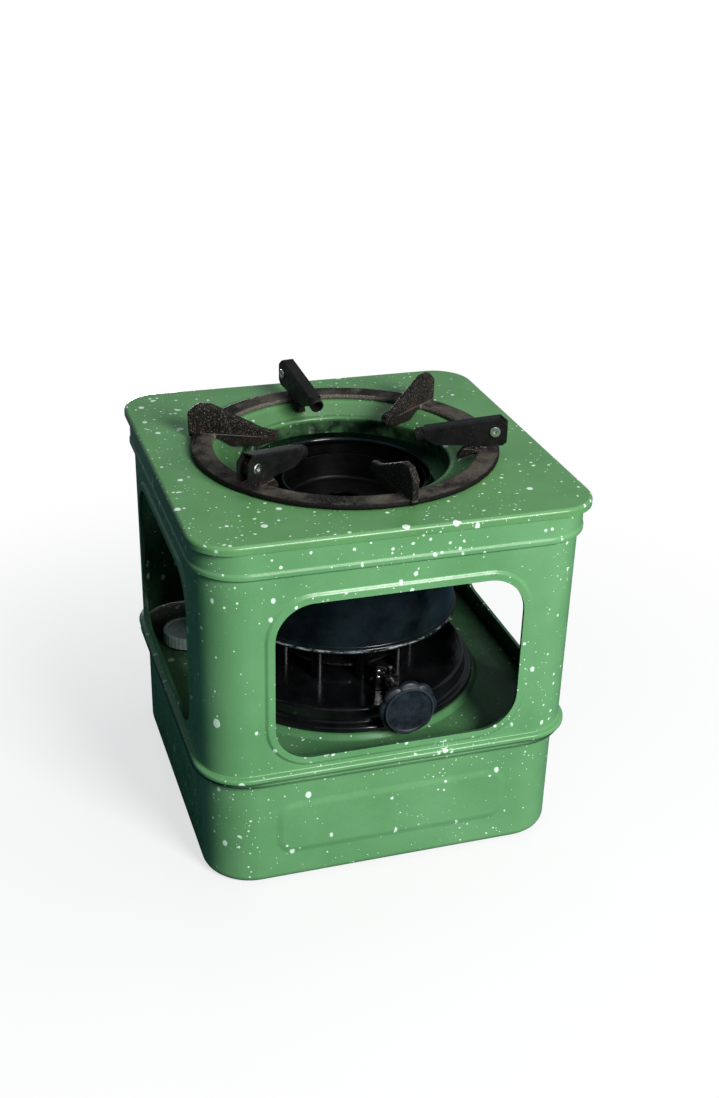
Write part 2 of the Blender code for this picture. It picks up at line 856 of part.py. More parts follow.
def build_base(look, bracket_look):
    low = SEAT_TOP + GAP
    path = fillet(
        (
            (BASE_RADIUS, low),
            (BASE_RADIUS, low + BASE_RIM),
            (BASE_WALL, low + BASE_RIM),
            (BASE_WALL, BASE_TOP),
            (WELL_RADIUS, BASE_TOP),
        ),
        (0, BASE_BEND, BASE_BEND, BASE_BEND, 0),
        1,
    )
    section = [Vector((0, BASE_TOP)), *reversed(path), *offset(path, -SHEET)]
    section.append(Vector((0, BASE_TOP - SHEET)))
    base = finish("burner_base", turned(section), look)
    holes = []
    for index in range(TUBE_COUNT):
        angle = -math.pi / 2 + 2 * math.pi * index / TUBE_COUNT
        x = TUBE_CIRCLE * math.cos(angle)
        y = TUBE_CIRCLE * math.sin(angle)
        holes.append(
            rod(
                drilled(TUBE_RADIUS, GAP, HOLE_STEPS),
                (x, y, BASE_TOP - CUT_MARGIN),
                (x, y, BASE_TOP + CUT_MARGIN),
                HOLE_STEPS,
            )
        )
    pitch_x = SHAFT_X - GEAR_MODULE * PINION_TEETH / 2
    slot = box(
        (
            pitch_x - DEDENDUM - RACK_BACK - RACK_SLOT_MARGIN,
            RACK_OUTSIDE - RACK_SLOT_MARGIN,
            BASE_TOP - CUT_MARGIN,
        ),
        (
            pitch_x + ADDENDUM + RACK_SLOT_MARGIN,
            RACK_INSIDE + RACK_SLOT_MARGIN,
            BASE_TOP + CUT_MARGIN,
        ),
    )
    holes.append(slot)
    combine(base, finish("base_drill", joined(holes), None), "DIFFERENCE")

    for name, face_y, foot_length in (
        ("shaft_bracket_front", BRACKET_FRONT_Y, -BRACKET_FOOT),
        ("shaft_bracket_rear", BRACKET_REAR_Y, BRACKET_REAR_FOOT),
    ):
        floor = BASE_TOP + GAP
        lean = math.copysign(BRACKET_THICK, foot_length)
        outline = (
            (face_y + foot_length, floor),
            (face_y - lean, floor),
            (face_y - lean, SHAFT_Z + BRACKET_HALF),
            (face_y, SHAFT_Z + BRACKET_HALF),
            (face_y, floor + BRACKET_THICK),
            (face_y + foot_length, floor + BRACKET_THICK),
        )
        shape = prism(
            outline,
            SHAFT_X - BRACKET_HALF,
            SHAFT_X + BRACKET_HALF,
            lambda u, v, w: (w, u, v),
        )
        bracket = finish(name, shape, bracket_look)
        drill = rod(
            drilled(SHAFT_RADIUS, RUNNING, SMALL_STEPS),
            (SHAFT_X, face_y - CUT_MARGIN, SHAFT_Z),
            (SHAFT_X, face_y + CUT_MARGIN, SHAFT_Z),
            SMALL_STEPS,
        )
        combine(bracket, finish(name + "_drill", drill, None), "DIFFERENCE")


def build_tubes(look):
    # A tube with a slot that faces the stove's axis, cut between two of its rings.
    angles = [math.pi - SLOT_HALF_ANGLE, math.pi + SLOT_HALF_ANGLE]
    rest = 2 * math.pi - 2 * SLOT_HALF_ANGLE
    for step in range(1, TUBE_STEPS - 1):
        angles.append(math.pi + SLOT_HALF_ANGLE + rest * step / (TUBE_STEPS - 1))
    first = None
    for index in range(TUBE_COUNT):
        turn = -math.pi / 2 + 2 * math.pi * index / TUBE_COUNT
        name = "wick_tube_%02d" % (index + 1)
        if first is not None:
            copy_of(first, name, turn - first.rotation_euler.z, look)
            continue
        shape = bmesh.new()
        layers = []
        for z in (TUBE_LOW, SLOT_LOW, SLOT_HIGH, TUBE_HIGH):
            layer = []
            for radius in (TUBE_RADIUS, TUBE_RADIUS - TUBE_WALL):
                layer.append([shape.verts.new((radius * math.cos(a), radius * math.sin(a), z)) for a in angles])
            layers.append(layer)
        count = len(angles)
        for level in range(3):
            for side in range(2):
                lower = layers[level][side]
                upper = layers[level + 1][side]
                for step in range(count):
                    after = (step + 1) % count
                    if level == 1 and step == 0:
                        continue
                    shape.faces.new((lower[step], lower[after], upper[after], upper[step]))
        for level in (0, 3):
            band(shape, layers[level][0], layers[level][1])
        for level in (1, 2):
            outer, inner = layers[level]
            shape.faces.new((outer[0], outer[1], inner[1], inner[0]))
        for step in (0, 1):
            lower = layers[1]
            upper = layers[2]
            shape.faces.new((lower[0][step], upper[0][step], upper[1][step], lower[1][step]))
        first = finish(name, shape, look)
        first.location = (TUBE_CIRCLE * math.cos(turn), TUBE_CIRCLE * math.sin(turn), 0)
        first.rotation_euler.z = turn


def build_head(look):
    path = fillet(
        (
            (HEAD_OUTER, HEAD_FLOOR + HEAD_WALL),
            (HEAD_OUTER, HEAD_FLOOR),
            (HEAD_INNER, HEAD_FLOOR),
            (HEAD_INNER, HEAD_FLOOR + HEAD_WALL),
        ),
        (0, HEAD_BEND, HEAD_BEND, 0),
        1,
    )
    head = finish("burner_head", turned(sheet_section(path, SHEET), HIDDEN_STEPS), look)
    holes = []
    for index in range(TUBE_COUNT):
        angle = -math.pi / 2 + 2 * math.pi * index / TUBE_COUNT
        x = TUBE_CIRCLE * math.cos(angle)
        y = TUBE_CIRCLE * math.sin(angle)
        holes.append(
            rod(
                drilled(TUBE_RADIUS, GAP, HOLE_STEPS),
                (x, y, HEAD_FLOOR - CUT_MARGIN),
                (x, y, HEAD_FLOOR + CUT_MARGIN),
                HOLE_STEPS,
            )
        )
    combine(head, finish("head_drill", joined(holes), None), "DIFFERENCE")


def build_wicks(look):
    first = None
    for index in range(TUBE_COUNT):
        turn = -math.pi / 2 + 2 * math.pi * index / TUBE_COUNT
        name = "wick_%02d" % (index + 1)
        if first is None:
            shape = rod(WICK_RADIUS, (0, 0, WICK_LOW), (0, 0, WICK_HIGH), RIVET_STEPS)
            first = finish(name, shape, look)
            first.location = (TUBE_CIRCLE * math.cos(turn), TUBE_CIRCLE * math.sin(turn), 0)
            first.rotation_euler.z = turn
        else:
            copy_of(first, name, turn - first.rotation_euler.z, look)


def build_carrier(look, rivet_look):
    # The ring's outline goes round once, out along each finger and, at the front, along the arm.
    high = CARRIER_LOW + CARRIER_THICK
    finger_end = TUBE_CIRCLE - WICK_RADIUS - GAP
    tab_low = RACK_INSIDE + GAP
    outline = []
    finger_angle = math.asin(FINGER_HALF / CARRIER_OUTER)
    arm_start = -math.acos(ARM_X / CARRIER_OUTER)
    arm_end = -math.acos((ARM_X + ARM_WIDTH) / CARRIER_OUTER)
    for index in range(TUBE_COUNT):
        turn = -math.pi / 2 + 2 * math.pi * index / TUBE_COUNT
        after = turn + 2 * math.pi / TUBE_COUNT
        for side in (-1, 1):
            x = finger_end * math.cos(turn) - side * FINGER_HALF * math.sin(turn)
            y = finger_end * math.sin(turn) + side * FINGER_HALF * math.cos(turn)
            root = arc((0, 0), CARRIER_OUTER, turn + side * finger_angle, turn, 1)[0]
            pair = [root, (x, y)]
            if side > 0:
                pair.reverse()
            outline += pair
        start = turn + finger_angle
        end = after - finger_angle
        if index == 0:
            outline.append((CARRIER_OUTER * math.cos(arm_start), CARRIER_OUTER * math.sin(arm_start)))
            outline.append((ARM_X, tab_low))
            outline.append((ARM_X + ARM_WIDTH, tab_low))
            outline.append((CARRIER_OUTER * math.cos(arm_end), CARRIER_OUTER * math.sin(arm_end)))
            start = arm_end
        for step in range(1, 4):
            angle = start + (end - start) * step / 4
            outline.append((CARRIER_OUTER * math.cos(angle), CARRIER_OUTER * math.sin(angle)))
    shape = prism(outline, CARRIER_LOW, high, flat)
    carrier = finish("wick_carrier", shape, look)
    bore = rod(
        CARRIER_INNER,
        (0, 0, CARRIER_LOW - CUT_MARGIN),
        (0, 0, high + CUT_MARGIN),
        ROUND_STEPS,
    )
    combine(carrier, finish("carrier_bore", bore, None), "DIFFERENCE")
    tab = box(
        (TAB_X, tab_low, CARRIER_LOW + CARRIER_THICK / 2),
        (TAB_X + TAB_WIDTH, tab_low + TAB_THICK, CARRIER_LOW + TAB_HEIGHT),
    )
    tab_made = finish("carrier_tab", tab, None)
    combine(carrier, tab_made, "UNION")
    rivet_x = RACK_RIVET_X
    holes = []
    for z in RACK_RIVET_Z:
        holes.append(
            rod(
                drilled(RIVET_SHANK, GAP, RIVET_STEPS),
                (rivet_x, tab_low - CUT_MARGIN, z),
                (rivet_x, tab_low + CUT_MARGIN, z),
                RIVET_STEPS,
            )
        )
    combine(carrier, finish("carrier_drill", joined(holes), None), "DIFFERENCE")

    # Rack: a bar behind a row of trapezoid teeth.
    pitch = math.pi * GEAR_MODULE
    pitch_x = SHAFT_X - GEAR_MODULE * PINION_TEETH / 2
    root_x = pitch_x - DEDENDUM
    tip_x = pitch_x + ADDENDUM
    half = RACK_TOOTH_SHARE * pitch / 2
    low = RACK_LOW
    outline = [(root_x - RACK_BACK, low), (root_x, low)]
    first_tooth = SHAFT_Z + pitch / 2
    while first_tooth - pitch > low + pitch / 2:
        first_tooth -= pitch
    for index in range(RACK_TEETH):
        z = first_tooth + index * pitch
        at_root = half + DEDENDUM * math.tan(RACK_LEAN)
        at_tip = half - ADDENDUM * math.tan(RACK_LEAN)
        outline += [(root_x, z - at_root), (tip_x, z - at_tip), (tip_x, z + at_tip), (root_x, z + at_root)]
    high = first_tooth + (RACK_TEETH - 1) * pitch + pitch / 2
    outline += [(root_x, high), (root_x - RACK_BACK, high)]
    shape = prism(outline, RACK_OUTSIDE, RACK_INSIDE, frontal)
    rack = finish("rack", shape, look)
    holes = []
    for z in RACK_RIVET_Z:
        holes.append(
            rod(
                drilled(RIVET_SHANK, GAP, RIVET_STEPS),
                (rivet_x, RACK_OUTSIDE - CUT_MARGIN, z),
                (rivet_x, RACK_INSIDE + CUT_MARGIN, z),
                RIVET_STEPS,
            )
        )
    combine(rack, finish("rack_drill", joined(holes), None), "DIFFERENCE")
    for index, z in enumerate(RACK_RIVET_Z):
        outside = RACK_OUTSIDE - GAP
        inside = tab_low + TAB_THICK + GAP
        section = (
            (0, outside - RIVET_HEAD_THICK),
            (RIVET_HEAD, outside - RIVET_HEAD_THICK),
            (RIVET_HEAD, outside),
            (RIVET_SHANK, outside),
            (RIVET_SHANK, inside),
            (RIVET_HEAD, inside),
            (RIVET_HEAD, inside + RIVET_HEAD_THICK),
            (0, inside + RIVET_HEAD_THICK),
        )
        shape = turned(section, RIVET_STEPS)
        lay = Matrix.Translation((rivet_x, 0, z)) @ Matrix.Rotation(-math.pi / 2, 4, "X")
        bmesh.ops.transform(shape, matrix=lay, verts=shape.verts)
        finish("rack_rivet_%d" % (index + 1), shape, rivet_look)


def build_knob(knob_look, steel):
    axis = (SHAFT_X, 0, SHAFT_Z)
    shaft = rod(
        SHAFT_RADIUS,
        (SHAFT_X, SHAFT_OUTSIDE, SHAFT_Z),
        (SHAFT_X, SHAFT_INSIDE, SHAFT_Z),
        SMALL_STEPS,
    )
    finish("knob_shaft", shaft, steel, axis)

    pitch_radius = GEAR_MODULE * PINION_TEETH / 2
    circular = math.pi * GEAR_MODULE
    half = TOOTH_SHARE * circular / 2
    outline = []
    for index in range(PINION_TEETH):
        # One tooth points at the rack and lies in the gap between two of the rack's teeth.
        turn = math.pi + 2 * math.pi * index / PINION_TEETH
        for radius, width in (
            (pitch_radius - DEDENDUM, -half * ROOT_SHARE),
            (pitch_radius, -half),
            (pitch_radius + ADDENDUM, -half * TIP_SHARE),
            (pitch_radius + ADDENDUM, half * TIP_SHARE),
            (pitch_radius, half),
            (pitch_radius - DEDENDUM, half * ROOT_SHARE),
        ):
            x = radius * math.cos(turn) - width * math.sin(turn)
            z = radius * math.sin(turn) + width * math.cos(turn)
            outline.append((SHAFT_X + x, SHAFT_Z + z))
    shape = prism(outline, RACK_OUTSIDE, RACK_INSIDE, frontal)
    pinion = finish("pinion", shape, steel, axis)
    drill = rod(
        drilled(SHAFT_RADIUS, GAP, SMALL_STEPS),
        (SHAFT_X, RACK_OUTSIDE - CUT_MARGIN, SHAFT_Z),
        (SHAFT_X, RACK_INSIDE + CUT_MARGIN, SHAFT_Z),
        SMALL_STEPS,
    )
    combine(pinion, finish("pinion_drill", drill, None), "DIFFERENCE")

    # Knob: a dished face with a raised rim, a groove, a lobed skirt close behind it, and a hub.
    shape = bmesh.new()
    count = 3 * KNOB_LOBES
    bore = SHAFT_RADIUS + GAP
    bore_end = SHAFT_OUTSIDE - GAP
    rings = []
    for radius, lobe, y in (
        (bore, 0, bore_end),
        (bore, 0, KNOB_HUB_BACK),
        (KNOB_HUB_RADIUS, 0, KNOB_HUB_BACK),
        (KNOB_HUB_RADIUS, 0, KNOB_FACE + KNOB_HUB_FRONT),
        (KNOB_CONE_RADIUS, 0, KNOB_FACE + KNOB_CONE_DEPTH),
        (KNOB_SKIRT_RADIUS, KNOB_LOBE, KNOB_FACE + KNOB_SKIRT_BACK),
        (KNOB_SKIRT_RADIUS, KNOB_LOBE, KNOB_FACE + KNOB_SKIRT_FRONT + KNOB_BEVEL),
        (KNOB_SKIRT_RADIUS - KNOB_BEVEL, KNOB_LOBE, KNOB_FACE + KNOB_SKIRT_FRONT),
        (KNOB_GROOVE_RADIUS, 0, KNOB_FACE + KNOB_GROOVE_DEPTH),
        (KNOB_FACE_RADIUS, 0, KNOB_FACE + KNOB_BEVEL),
        (KNOB_FACE_RADIUS - KNOB_RIM / 2, 0, KNOB_FACE),
        (KNOB_FACE_RADIUS - KNOB_RIM, 0, KNOB_FACE + KNOB_DISH),
    ):
        ring = []
        for step in range(count):
            angle = 2 * math.pi * step / count
            reach = radius + lobe * math.cos(KNOB_LOBES * angle)
            x = SHAFT_X + reach * math.cos(angle)
            z = SHAFT_Z + reach * math.sin(angle)
            ring.append(shape.verts.new((x, y, z)))
        rings.append(ring)
    for first, second in zip(rings, rings[1:]):
        band(shape, first, second)
    shape.faces.new(rings[0])
    shape.faces.new(rings[-1])
    knob = finish("knob", shape, knob_look, axis)
    drill = rod(
        drilled(SCREW_RADIUS, GAP, RIVET_STEPS),
        (SHAFT_X, SCREW_Y, SHAFT_Z),
        (SHAFT_X, SCREW_Y, SHAFT_Z + KNOB_HUB_RADIUS + CUT_MARGIN),
        RIVET_STEPS,
    )
    combine(knob, finish("screw_drill", drill, None), "DIFFERENCE")
    screw = rod(
        SCREW_RADIUS,
        (SHAFT_X, SCREW_Y, SHAFT_Z + SHAFT_RADIUS + GAP),
        (SHAFT_X, SCREW_Y, SHAFT_Z + KNOB_HUB_RADIUS + GAP),
        RIVET_STEPS,
    )
    finish("knob_set_screw", screw, steel, axis)


def pin_angles():
    return [PIN_START + 2 * math.pi * index / PIN_COUNT for index in range(PIN_COUNT)]


def pierce(made, radius, rows):
    # Rows of vents round a sleeve, and a hole for each cross pin.
    holes = []
    for row, z in enumerate(rows):
        for index in range(VENT_COUNT):
            angle = 2 * math.pi * (index + row / 2) / VENT_COUNT
            place = radial(angle)
            inner = place(radius - CUT_MARGIN, z, 0)
            outer = place(radius + CUT_MARGIN, z, 0)
            holes.append(rod(VENT_RADIUS, inner, outer, 6))
    for angle in pin_angles():
        place = radial(angle)
        inner = place(radius - CUT_MARGIN, PIN_HEIGHT, 0)
        outer = place(radius + CUT_MARGIN, PIN_HEIGHT, 0)
        holes.append(rod(drilled(PIN_RADIUS, GAP, RIVET_STEPS), inner, outer, RIVET_STEPS))
    combine(made, finish(made.name + "_vents", joined(holes), None), "DIFFERENCE")


def build_drum(enamel, sleeve_look, steel):
    wall = DRUM_RADIUS
    bead_high = DRUM_LOW + DRUM_BEAD_HEIGHT
    neck = DRUM_MOUTH - DRUM_RIM
    path = fillet(
        (
            (wall + DRUM_BEAD / 2, DRUM_LOW),
            (wall + DRUM_BEAD, DRUM_LOW + DRUM_BEAD_HEIGHT / 2),
            (wall, bead_high),
            (wall, DRUM_SHOULDER),
            (DRUM_MOUTH, DRUM_TOP - DRUM_NECK),
            (neck, DRUM_TOP - DRUM_RIM),
            (DRUM_MOUTH - DRUM_RIM / 2, DRUM_TOP),
        ),
        (0, 0, 0, SHOULDER_BEND, DRUM_RIM, 0, 0),
        2,
    )
    finish("drum", turned(sheet_section(path, -SHEET)), enamel)

    outer_section = (
        (OUTER_SLEEVE_RADIUS - SLEEVE_SHEET, SLEEVE_LOW),
        (OUTER_SLEEVE_RADIUS, SLEEVE_LOW),
        (OUTER_SLEEVE_RADIUS, OUTER_SLEEVE_TOP),
        (OUTER_SLEEVE_RADIUS - SLEEVE_SHEET, OUTER_SLEEVE_TOP),
    )
    outer = finish("outer_sleeve", turned(outer_section, HIDDEN_STEPS), sleeve_look)
    pierce(outer, OUTER_SLEEVE_RADIUS, VENT_ROWS)
    bead_low = INNER_SLEEVE_TOP - 2 * INNER_RIM
    inner_section = (
        (INNER_SLEEVE_RADIUS - SLEEVE_SHEET, SLEEVE_LOW),
        (INNER_SLEEVE_RADIUS, SLEEVE_LOW),
        (INNER_SLEEVE_RADIUS, bead_low),
        (INNER_SLEEVE_RADIUS + INNER_RIM, bead_low + INNER_RIM),
        (INNER_SLEEVE_RADIUS, INNER_SLEEVE_TOP),
        (INNER_SLEEVE_RADIUS - SLEEVE_SHEET, INNER_SLEEVE_TOP),
    )
    inner = finish("inner_sleeve", turned(inner_section, HIDDEN_STEPS), sleeve_look)
    pierce(inner, INNER_SLEEVE_RADIUS, VENT_ROWS)

    path = fillet(
        (
            (CAP_PLATE_RADIUS, CAP_PLATE_FLOOR + CAP_PLATE_WALL),
            (CAP_PLATE_RADIUS, CAP_PLATE_FLOOR),
            (CAP_PLATE_HOLE, CAP_PLATE_FLOOR),
        ),
        (0, HEAD_BEND, 0),
        1,
    )
    finish("flame_cap", turned(sheet_section(path, SHEET), HIDDEN_STEPS), sleeve_look)
    for index, angle in enumerate(pin_angles()):
        place = radial(angle)
        start = place(PIN_INSIDE, PIN_HEIGHT, 0)
        end = place(DRUM_RADIUS - SHEET - PIN_END_GAP, PIN_HEIGHT, 0)
        finish("cross_pin_%d" % (index + 1), rod(PIN_RADIUS, start, end, RIVET_STEPS), steel)


def third(start, index):
    return start + 2 * math.pi * index / 3


def web_height(radius):
    # The height of the top of a folding support's web, which slopes down to its inner end.
    rise = PIVOT_Z + WEB_RISE - SUPPORT_INNER_TOP
    share = (radius - SUPPORT_INNER) / (PIVOT_RADIUS + WEB_OUT - SUPPORT_INNER)
    return SUPPORT_INNER_TOP + rise * share


def build_trivet(iron, steel):
    low = PLATE_TOP + GAP
    ring_section = (
        (RING_INNER, low),
        (RING_OUTER, low),
        (RING_OUTER, low + RING_THICK),
        (RING_INNER, low + RING_THICK),
    )
    trivet = finish("trivet", turned(ring_section, RING_STEPS), iron)
    fin = fillet(
        (
            (TOE_MIDDLE, TOE_MIDDLE_LOW),
            (TOE_OUTER, low + FIN_BURY),
            (RING_OUTER - FIN_BURY, low + FIN_BURY),
            (FIN_OUTER, low + 2 * FIN_BURY),
            (FIN_OUTER + FIN_BURY, FIN_TOP - FIN_LEDGE),
            (FIN_OUTER - FIN_LEDGE, FIN_TOP),
            (FIN_SHOULDER, FIN_TOP),
            (FIN_WAIST, FIN_WAIST_TOP),
            (FIN_INNER, FIN_INNER_TOP),
            (FIN_INNER, FIN_INNER_LOW),
            (TOE_LIP_LOW, TOE_LOW + 2 * FIN_BURY),
            (TOE_INNER, TOE_LOW),
        ),
        (0, 0, 0, 0, FIN_LEDGE / 2, FIN_LEDGE / 4, FIN_LEDGE, FIN_LEDGE, FIN_BURY, 0, FIN_LEDGE / 2, 0),
    )
    pivot = (PIVOT_RADIUS, PIVOT_Z)
    eye = arc(pivot, LUG_EYE, LUG_EYE_START, LUG_EYE_END, 8)
    under_web = SUPPORT_SHEET + GAP
    lug = [
        (TONGUE_END, TONGUE_LOW),
        (TOE_MIDDLE, TOE_MIDDLE_LOW),
        (TOE_OUTER, low + FIN_BURY),
        (LUG_STEM_OUTER, low + FIN_BURY),
        (LUG_STEM_OUTER, low + RING_THICK + LUG_STEM_HEIGHT),
        *eye,
        (LUG_SHOULDER, web_height(LUG_SHOULDER) - under_web),
        (LUG_STEM_INNER, web_height(LUG_STEM_INNER) - under_web),
        (LUG_STEM_INNER, TONGUE_TOP),
        (TONGUE_KNEE, TONGUE_KNEE_TOP),
        (TONGUE_END, TONGUE_END_TOP),
    ]
    for index in range(3):
        shape = prism(fin, -FIN_HALF, FIN_HALF, radial(third(FIN_START, index)))
        combine(trivet, finish("trivet_fin_%d" % index, shape, None), "UNION")
        place = radial(third(SUPPORT_START, index))
        shape = prism(lug, -LUG_HALF, LUG_HALF, place)
        combine(trivet, finish("trivet_lug_%d" % index, shape, None), "UNION")
    holes = []
    for index in range(3):
        place = radial(third(SUPPORT_START, index))
        reach = LUG_HALF + CUT_MARGIN
        start = place(PIVOT_RADIUS, PIVOT_Z, -reach)
        end = place(PIVOT_RADIUS, PIVOT_Z, reach)
        holes.append(rod(drilled(SUPPORT_RIVET, GAP, TUBE_STEPS), start, end, TUBE_STEPS))
    combine(trivet, finish("trivet_drill", joined(holes), None), "DIFFERENCE")


def support_outlines():
    # A bent channel in the plane of its angle 0: two walls and a web on top, open below and at
    # both ends. The outer end stays near the pivot, so that the support can swing right over.
    sheet = SUPPORT_SHEET
    web_outer = PIVOT_RADIUS + WEB_OUT
    web_top = PIVOT_Z + WEB_RISE
    wall = [
        (SUPPORT_INNER, SUPPORT_INNER_LOW),
        (PIVOT_RADIUS - SUPPORT_KNEE_IN, PIVOT_Z - SUPPORT_KNEE_DROP),
        (PIVOT_RADIUS + SUPPORT_HEEL_OUT, PIVOT_Z - SUPPORT_HEEL_DROP),
        (PIVOT_RADIUS + SUPPORT_END_OUT, PIVOT_Z - SUPPORT_END_DROP),
        (PIVOT_RADIUS + SUPPORT_END_OUT, PIVOT_Z + SUPPORT_END_RISE),
        (web_outer, web_top),
        (SUPPORT_INNER, SUPPORT_INNER_TOP),
    ]
    web = [
        (SUPPORT_INNER, SUPPORT_INNER_TOP),
        (SUPPORT_INNER, SUPPORT_INNER_TOP - sheet),
        (web_outer, web_top - sheet),
        (web_outer, web_top),
    ]
    return wall, web


def build_support(name, angle, look, rivet_look):
    half = SUPPORT_HALF
    sheet = SUPPORT_SHEET
    wall, web = support_outlines()
    origin = radial(angle)(PIVOT_RADIUS, PIVOT_Z, 0)
    place = radial(0)
    shape = bmesh.new()
    # The four outlines across the channel share the web's points, so the solid closes by itself.
    inner_wall = list(wall[:-1])
    inner_wall[-1] = web[2]
    inner_wall.append(web[1])
    widths = (-half, sheet - half, half - sheet, half)
    rows = []
    for number, w in enumerate(widths):
        outline = wall if number in (0, 3) else inner_wall
        rows.append([shape.verts.new(place(u, v, w)) for u, v in outline])
    count = len(wall)
    shape.faces.new(rows[0])
    shape.faces.new(rows[3])
    shape.faces.new(rows[1])
    shape.faces.new(rows[2])
    outer_a, inner_a, inner_b, outer_b = rows
    for index in range(count - 2):
        after = index + 1
        shape.faces.new((outer_a[index], outer_a[after], inner_a[after], inner_a[index]))
        shape.faces.new((outer_b[index], outer_b[after], inner_b[after], inner_b[index]))
    last = count - 1
    before = count - 2
    shape.faces.new((outer_a[last], outer_a[0], inner_a[0], inner_a[last]))
    shape.faces.new((outer_b[last], outer_b[0], inner_b[0], inner_b[last]))
    shape.faces.new((outer_a[before], outer_a[last], outer_b[last], outer_b[before]))
    shape.faces.new((inner_a[before], inner_a[last], inner_b[last], inner_b[before]))
    shape.faces.new((outer_a[before], inner_a[before], inner_b[before], outer_b[before]))
    shape.faces.new((outer_a[last], inner_a[last], inner_b[last], outer_b[last]))
    bmesh.ops.rotate(shape, cent=(0, 0, 0), matrix=Matrix.Rotation(angle, 3, "Z"), verts=shape.verts)
    made = finish("folding_support_" + name, shape, look, origin)
    reach = half + CUT_MARGIN
    place = radial(angle)
    start = place(PIVOT_RADIUS, PIVOT_Z, -reach)
    end = place(PIVOT_RADIUS, PIVOT_Z, reach)
    drill = rod(drilled(SUPPORT_RIVET, RUNNING, TUBE_STEPS), start, end, TUBE_STEPS)
    combine(made, finish("support_drill_" + name, drill, None), "DIFFERENCE")

    face = half + GAP
    section = (
        (SUPPORT_RIVET_BORE, -face - SUPPORT_RIVET_HEAD_THICK),
        (SUPPORT_RIVET_HEAD, -face - SUPPORT_RIVET_HEAD_THICK),
        (SUPPORT_RIVET_HEAD, -face),
        (SUPPORT_RIVET, -face),
        (SUPPORT_RIVET, face),
        (SUPPORT_RIVET_HEAD, face),
        (SUPPORT_RIVET_HEAD, face + SUPPORT_RIVET_HEAD_THICK),
        (SUPPORT_RIVET_BORE, face + SUPPORT_RIVET_HEAD_THICK),
        (SUPPORT_RIVET_BORE, face + SUPPORT_RIVET_HEAD_THICK - SUPPORT_RIVET_DEPTH),
        (0, face + SUPPORT_RIVET_HEAD_THICK - SUPPORT_RIVET_DEPTH),
        (0, SUPPORT_RIVET_DEPTH - face - SUPPORT_RIVET_HEAD_THICK),
        (SUPPORT_RIVET_BORE, SUPPORT_RIVET_DEPTH - face - SUPPORT_RIVET_HEAD_THICK),
    )
    rivet = turned(section, TUBE_STEPS)
    lay = Matrix.Rotation(angle, 4, "Z") @ Matrix.Rotation(-math.pi / 2, 4, "X")
    bmesh.ops.transform(rivet, matrix=Matrix.Translation(origin) @ lay, verts=rivet.verts)
    finish("support_rivet_" + name, rivet, rivet_look)


def main():
    for item in list(bpy.data.objects):
        bpy.data.objects.remove(item, do_unlink=True)
    green = material("green enamel", GREEN, 0.25, 0)
    black = material("black enamel", BLACK, 0.2, 0)
    iron = material("cast iron", IRON, 0.75, 0.6)
    steel = material("zinc plated steel", STEEL, 0.35, 1)
    aluminium = material("aluminium", ALUMINIUM, 0.4, 1)
    bakelite = material("bakelite", BAKELITE, 0.35, 0)
    cotton = material("cotton", COTTON, 0.95, 0)
    fibre = material("fibre", FIBRE, 0.85, 0)
    build_tank(green)
    build_filler(steel, aluminium, fibre)
    build_casing(green)
    build_base(black, steel)
    build_tubes(steel)
    build_head(black)
    build_wicks(cotton)
    build_carrier(steel, steel)
    build_knob(bakelite, steel)
    build_drum(black, black, steel)
    build_top_plate(green)
    build_trivet(iron, steel)
    for index, name in enumerate(("back", "left", "right")):
        build_support(name, third(SUPPORT_START, index), black, steel)


main()
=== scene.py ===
# Looks of the kerosene wick stove: enamel, cast iron, steel, bakelite and cotton on the packed
# frame. Metres, +Z up. Pieces that need finer curves than the frame's solids replace them here,
# on the same sizes, and ride on the same bodies.

from math import atan2, copysign, cos, pi, radians, sin, sqrt, tan

import bmesh
import bpy
from mathutils import Matrix, Vector, noise


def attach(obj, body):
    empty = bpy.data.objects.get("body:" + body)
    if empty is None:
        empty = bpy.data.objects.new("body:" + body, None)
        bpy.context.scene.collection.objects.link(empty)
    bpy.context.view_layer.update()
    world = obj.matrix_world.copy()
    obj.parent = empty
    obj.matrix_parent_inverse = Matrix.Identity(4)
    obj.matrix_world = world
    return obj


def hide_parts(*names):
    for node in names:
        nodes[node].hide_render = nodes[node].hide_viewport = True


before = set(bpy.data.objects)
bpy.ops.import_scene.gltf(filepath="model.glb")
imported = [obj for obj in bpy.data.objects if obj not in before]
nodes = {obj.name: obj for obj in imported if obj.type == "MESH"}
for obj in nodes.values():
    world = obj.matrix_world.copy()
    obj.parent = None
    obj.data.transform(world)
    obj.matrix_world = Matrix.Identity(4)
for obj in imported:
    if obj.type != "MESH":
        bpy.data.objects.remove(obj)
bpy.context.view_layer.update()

# Fineness of the curves
CORNER_STEPS = 14
BEND_STEPS = 5
ROUND_STEPS = 96
SMALL_STEPS = 32
PIN_STEPS = 24
SMOOTH_ANGLE = radians(32)
WELD = 0.00001
CUT = 0.004
THIRD = 2 * pi / 3

# Sizes that the frame's solids have too
SHEET = 0.0008
GAP = 0.0003
TANK_HALF = 0.1184
TANK_CORNER = 0.27 * TANK_HALF
FLANGE_HALF = 0.1222
SEAM_HALF = 0.1238
COVER_TOP = 0.0802
CASING_HALF = 0.1205
CASING_CORNER = 0.24 * CASING_HALF
CASING_TOP = 0.2424
PLATE_HALF = 0.125
PLATE_CORNER = 0.026
PLATE_TOP = 0.2435
MOUTH_RADIUS = 0.0672
WELL_RADIUS = 0.068
SEAT_TOP = 0.0835
BASE_TOP = 0.0983
TUBE_COUNT = 10
TUBE_CIRCLE = 0.0465
TUBE_RADIUS = 0.0044
FILLER = (-0.0955, 0.06003)
NECK_RADIUS = 0.0126
NECK_TOP = 0.0878
SHAFT_X = 0.0132
SHAFT_Z = 0.1053
SCREW_Y = -0.0926
KNOB_FACE = -0.1062
DRUM_LOW = 0.1332
PIN_Z = 0.185
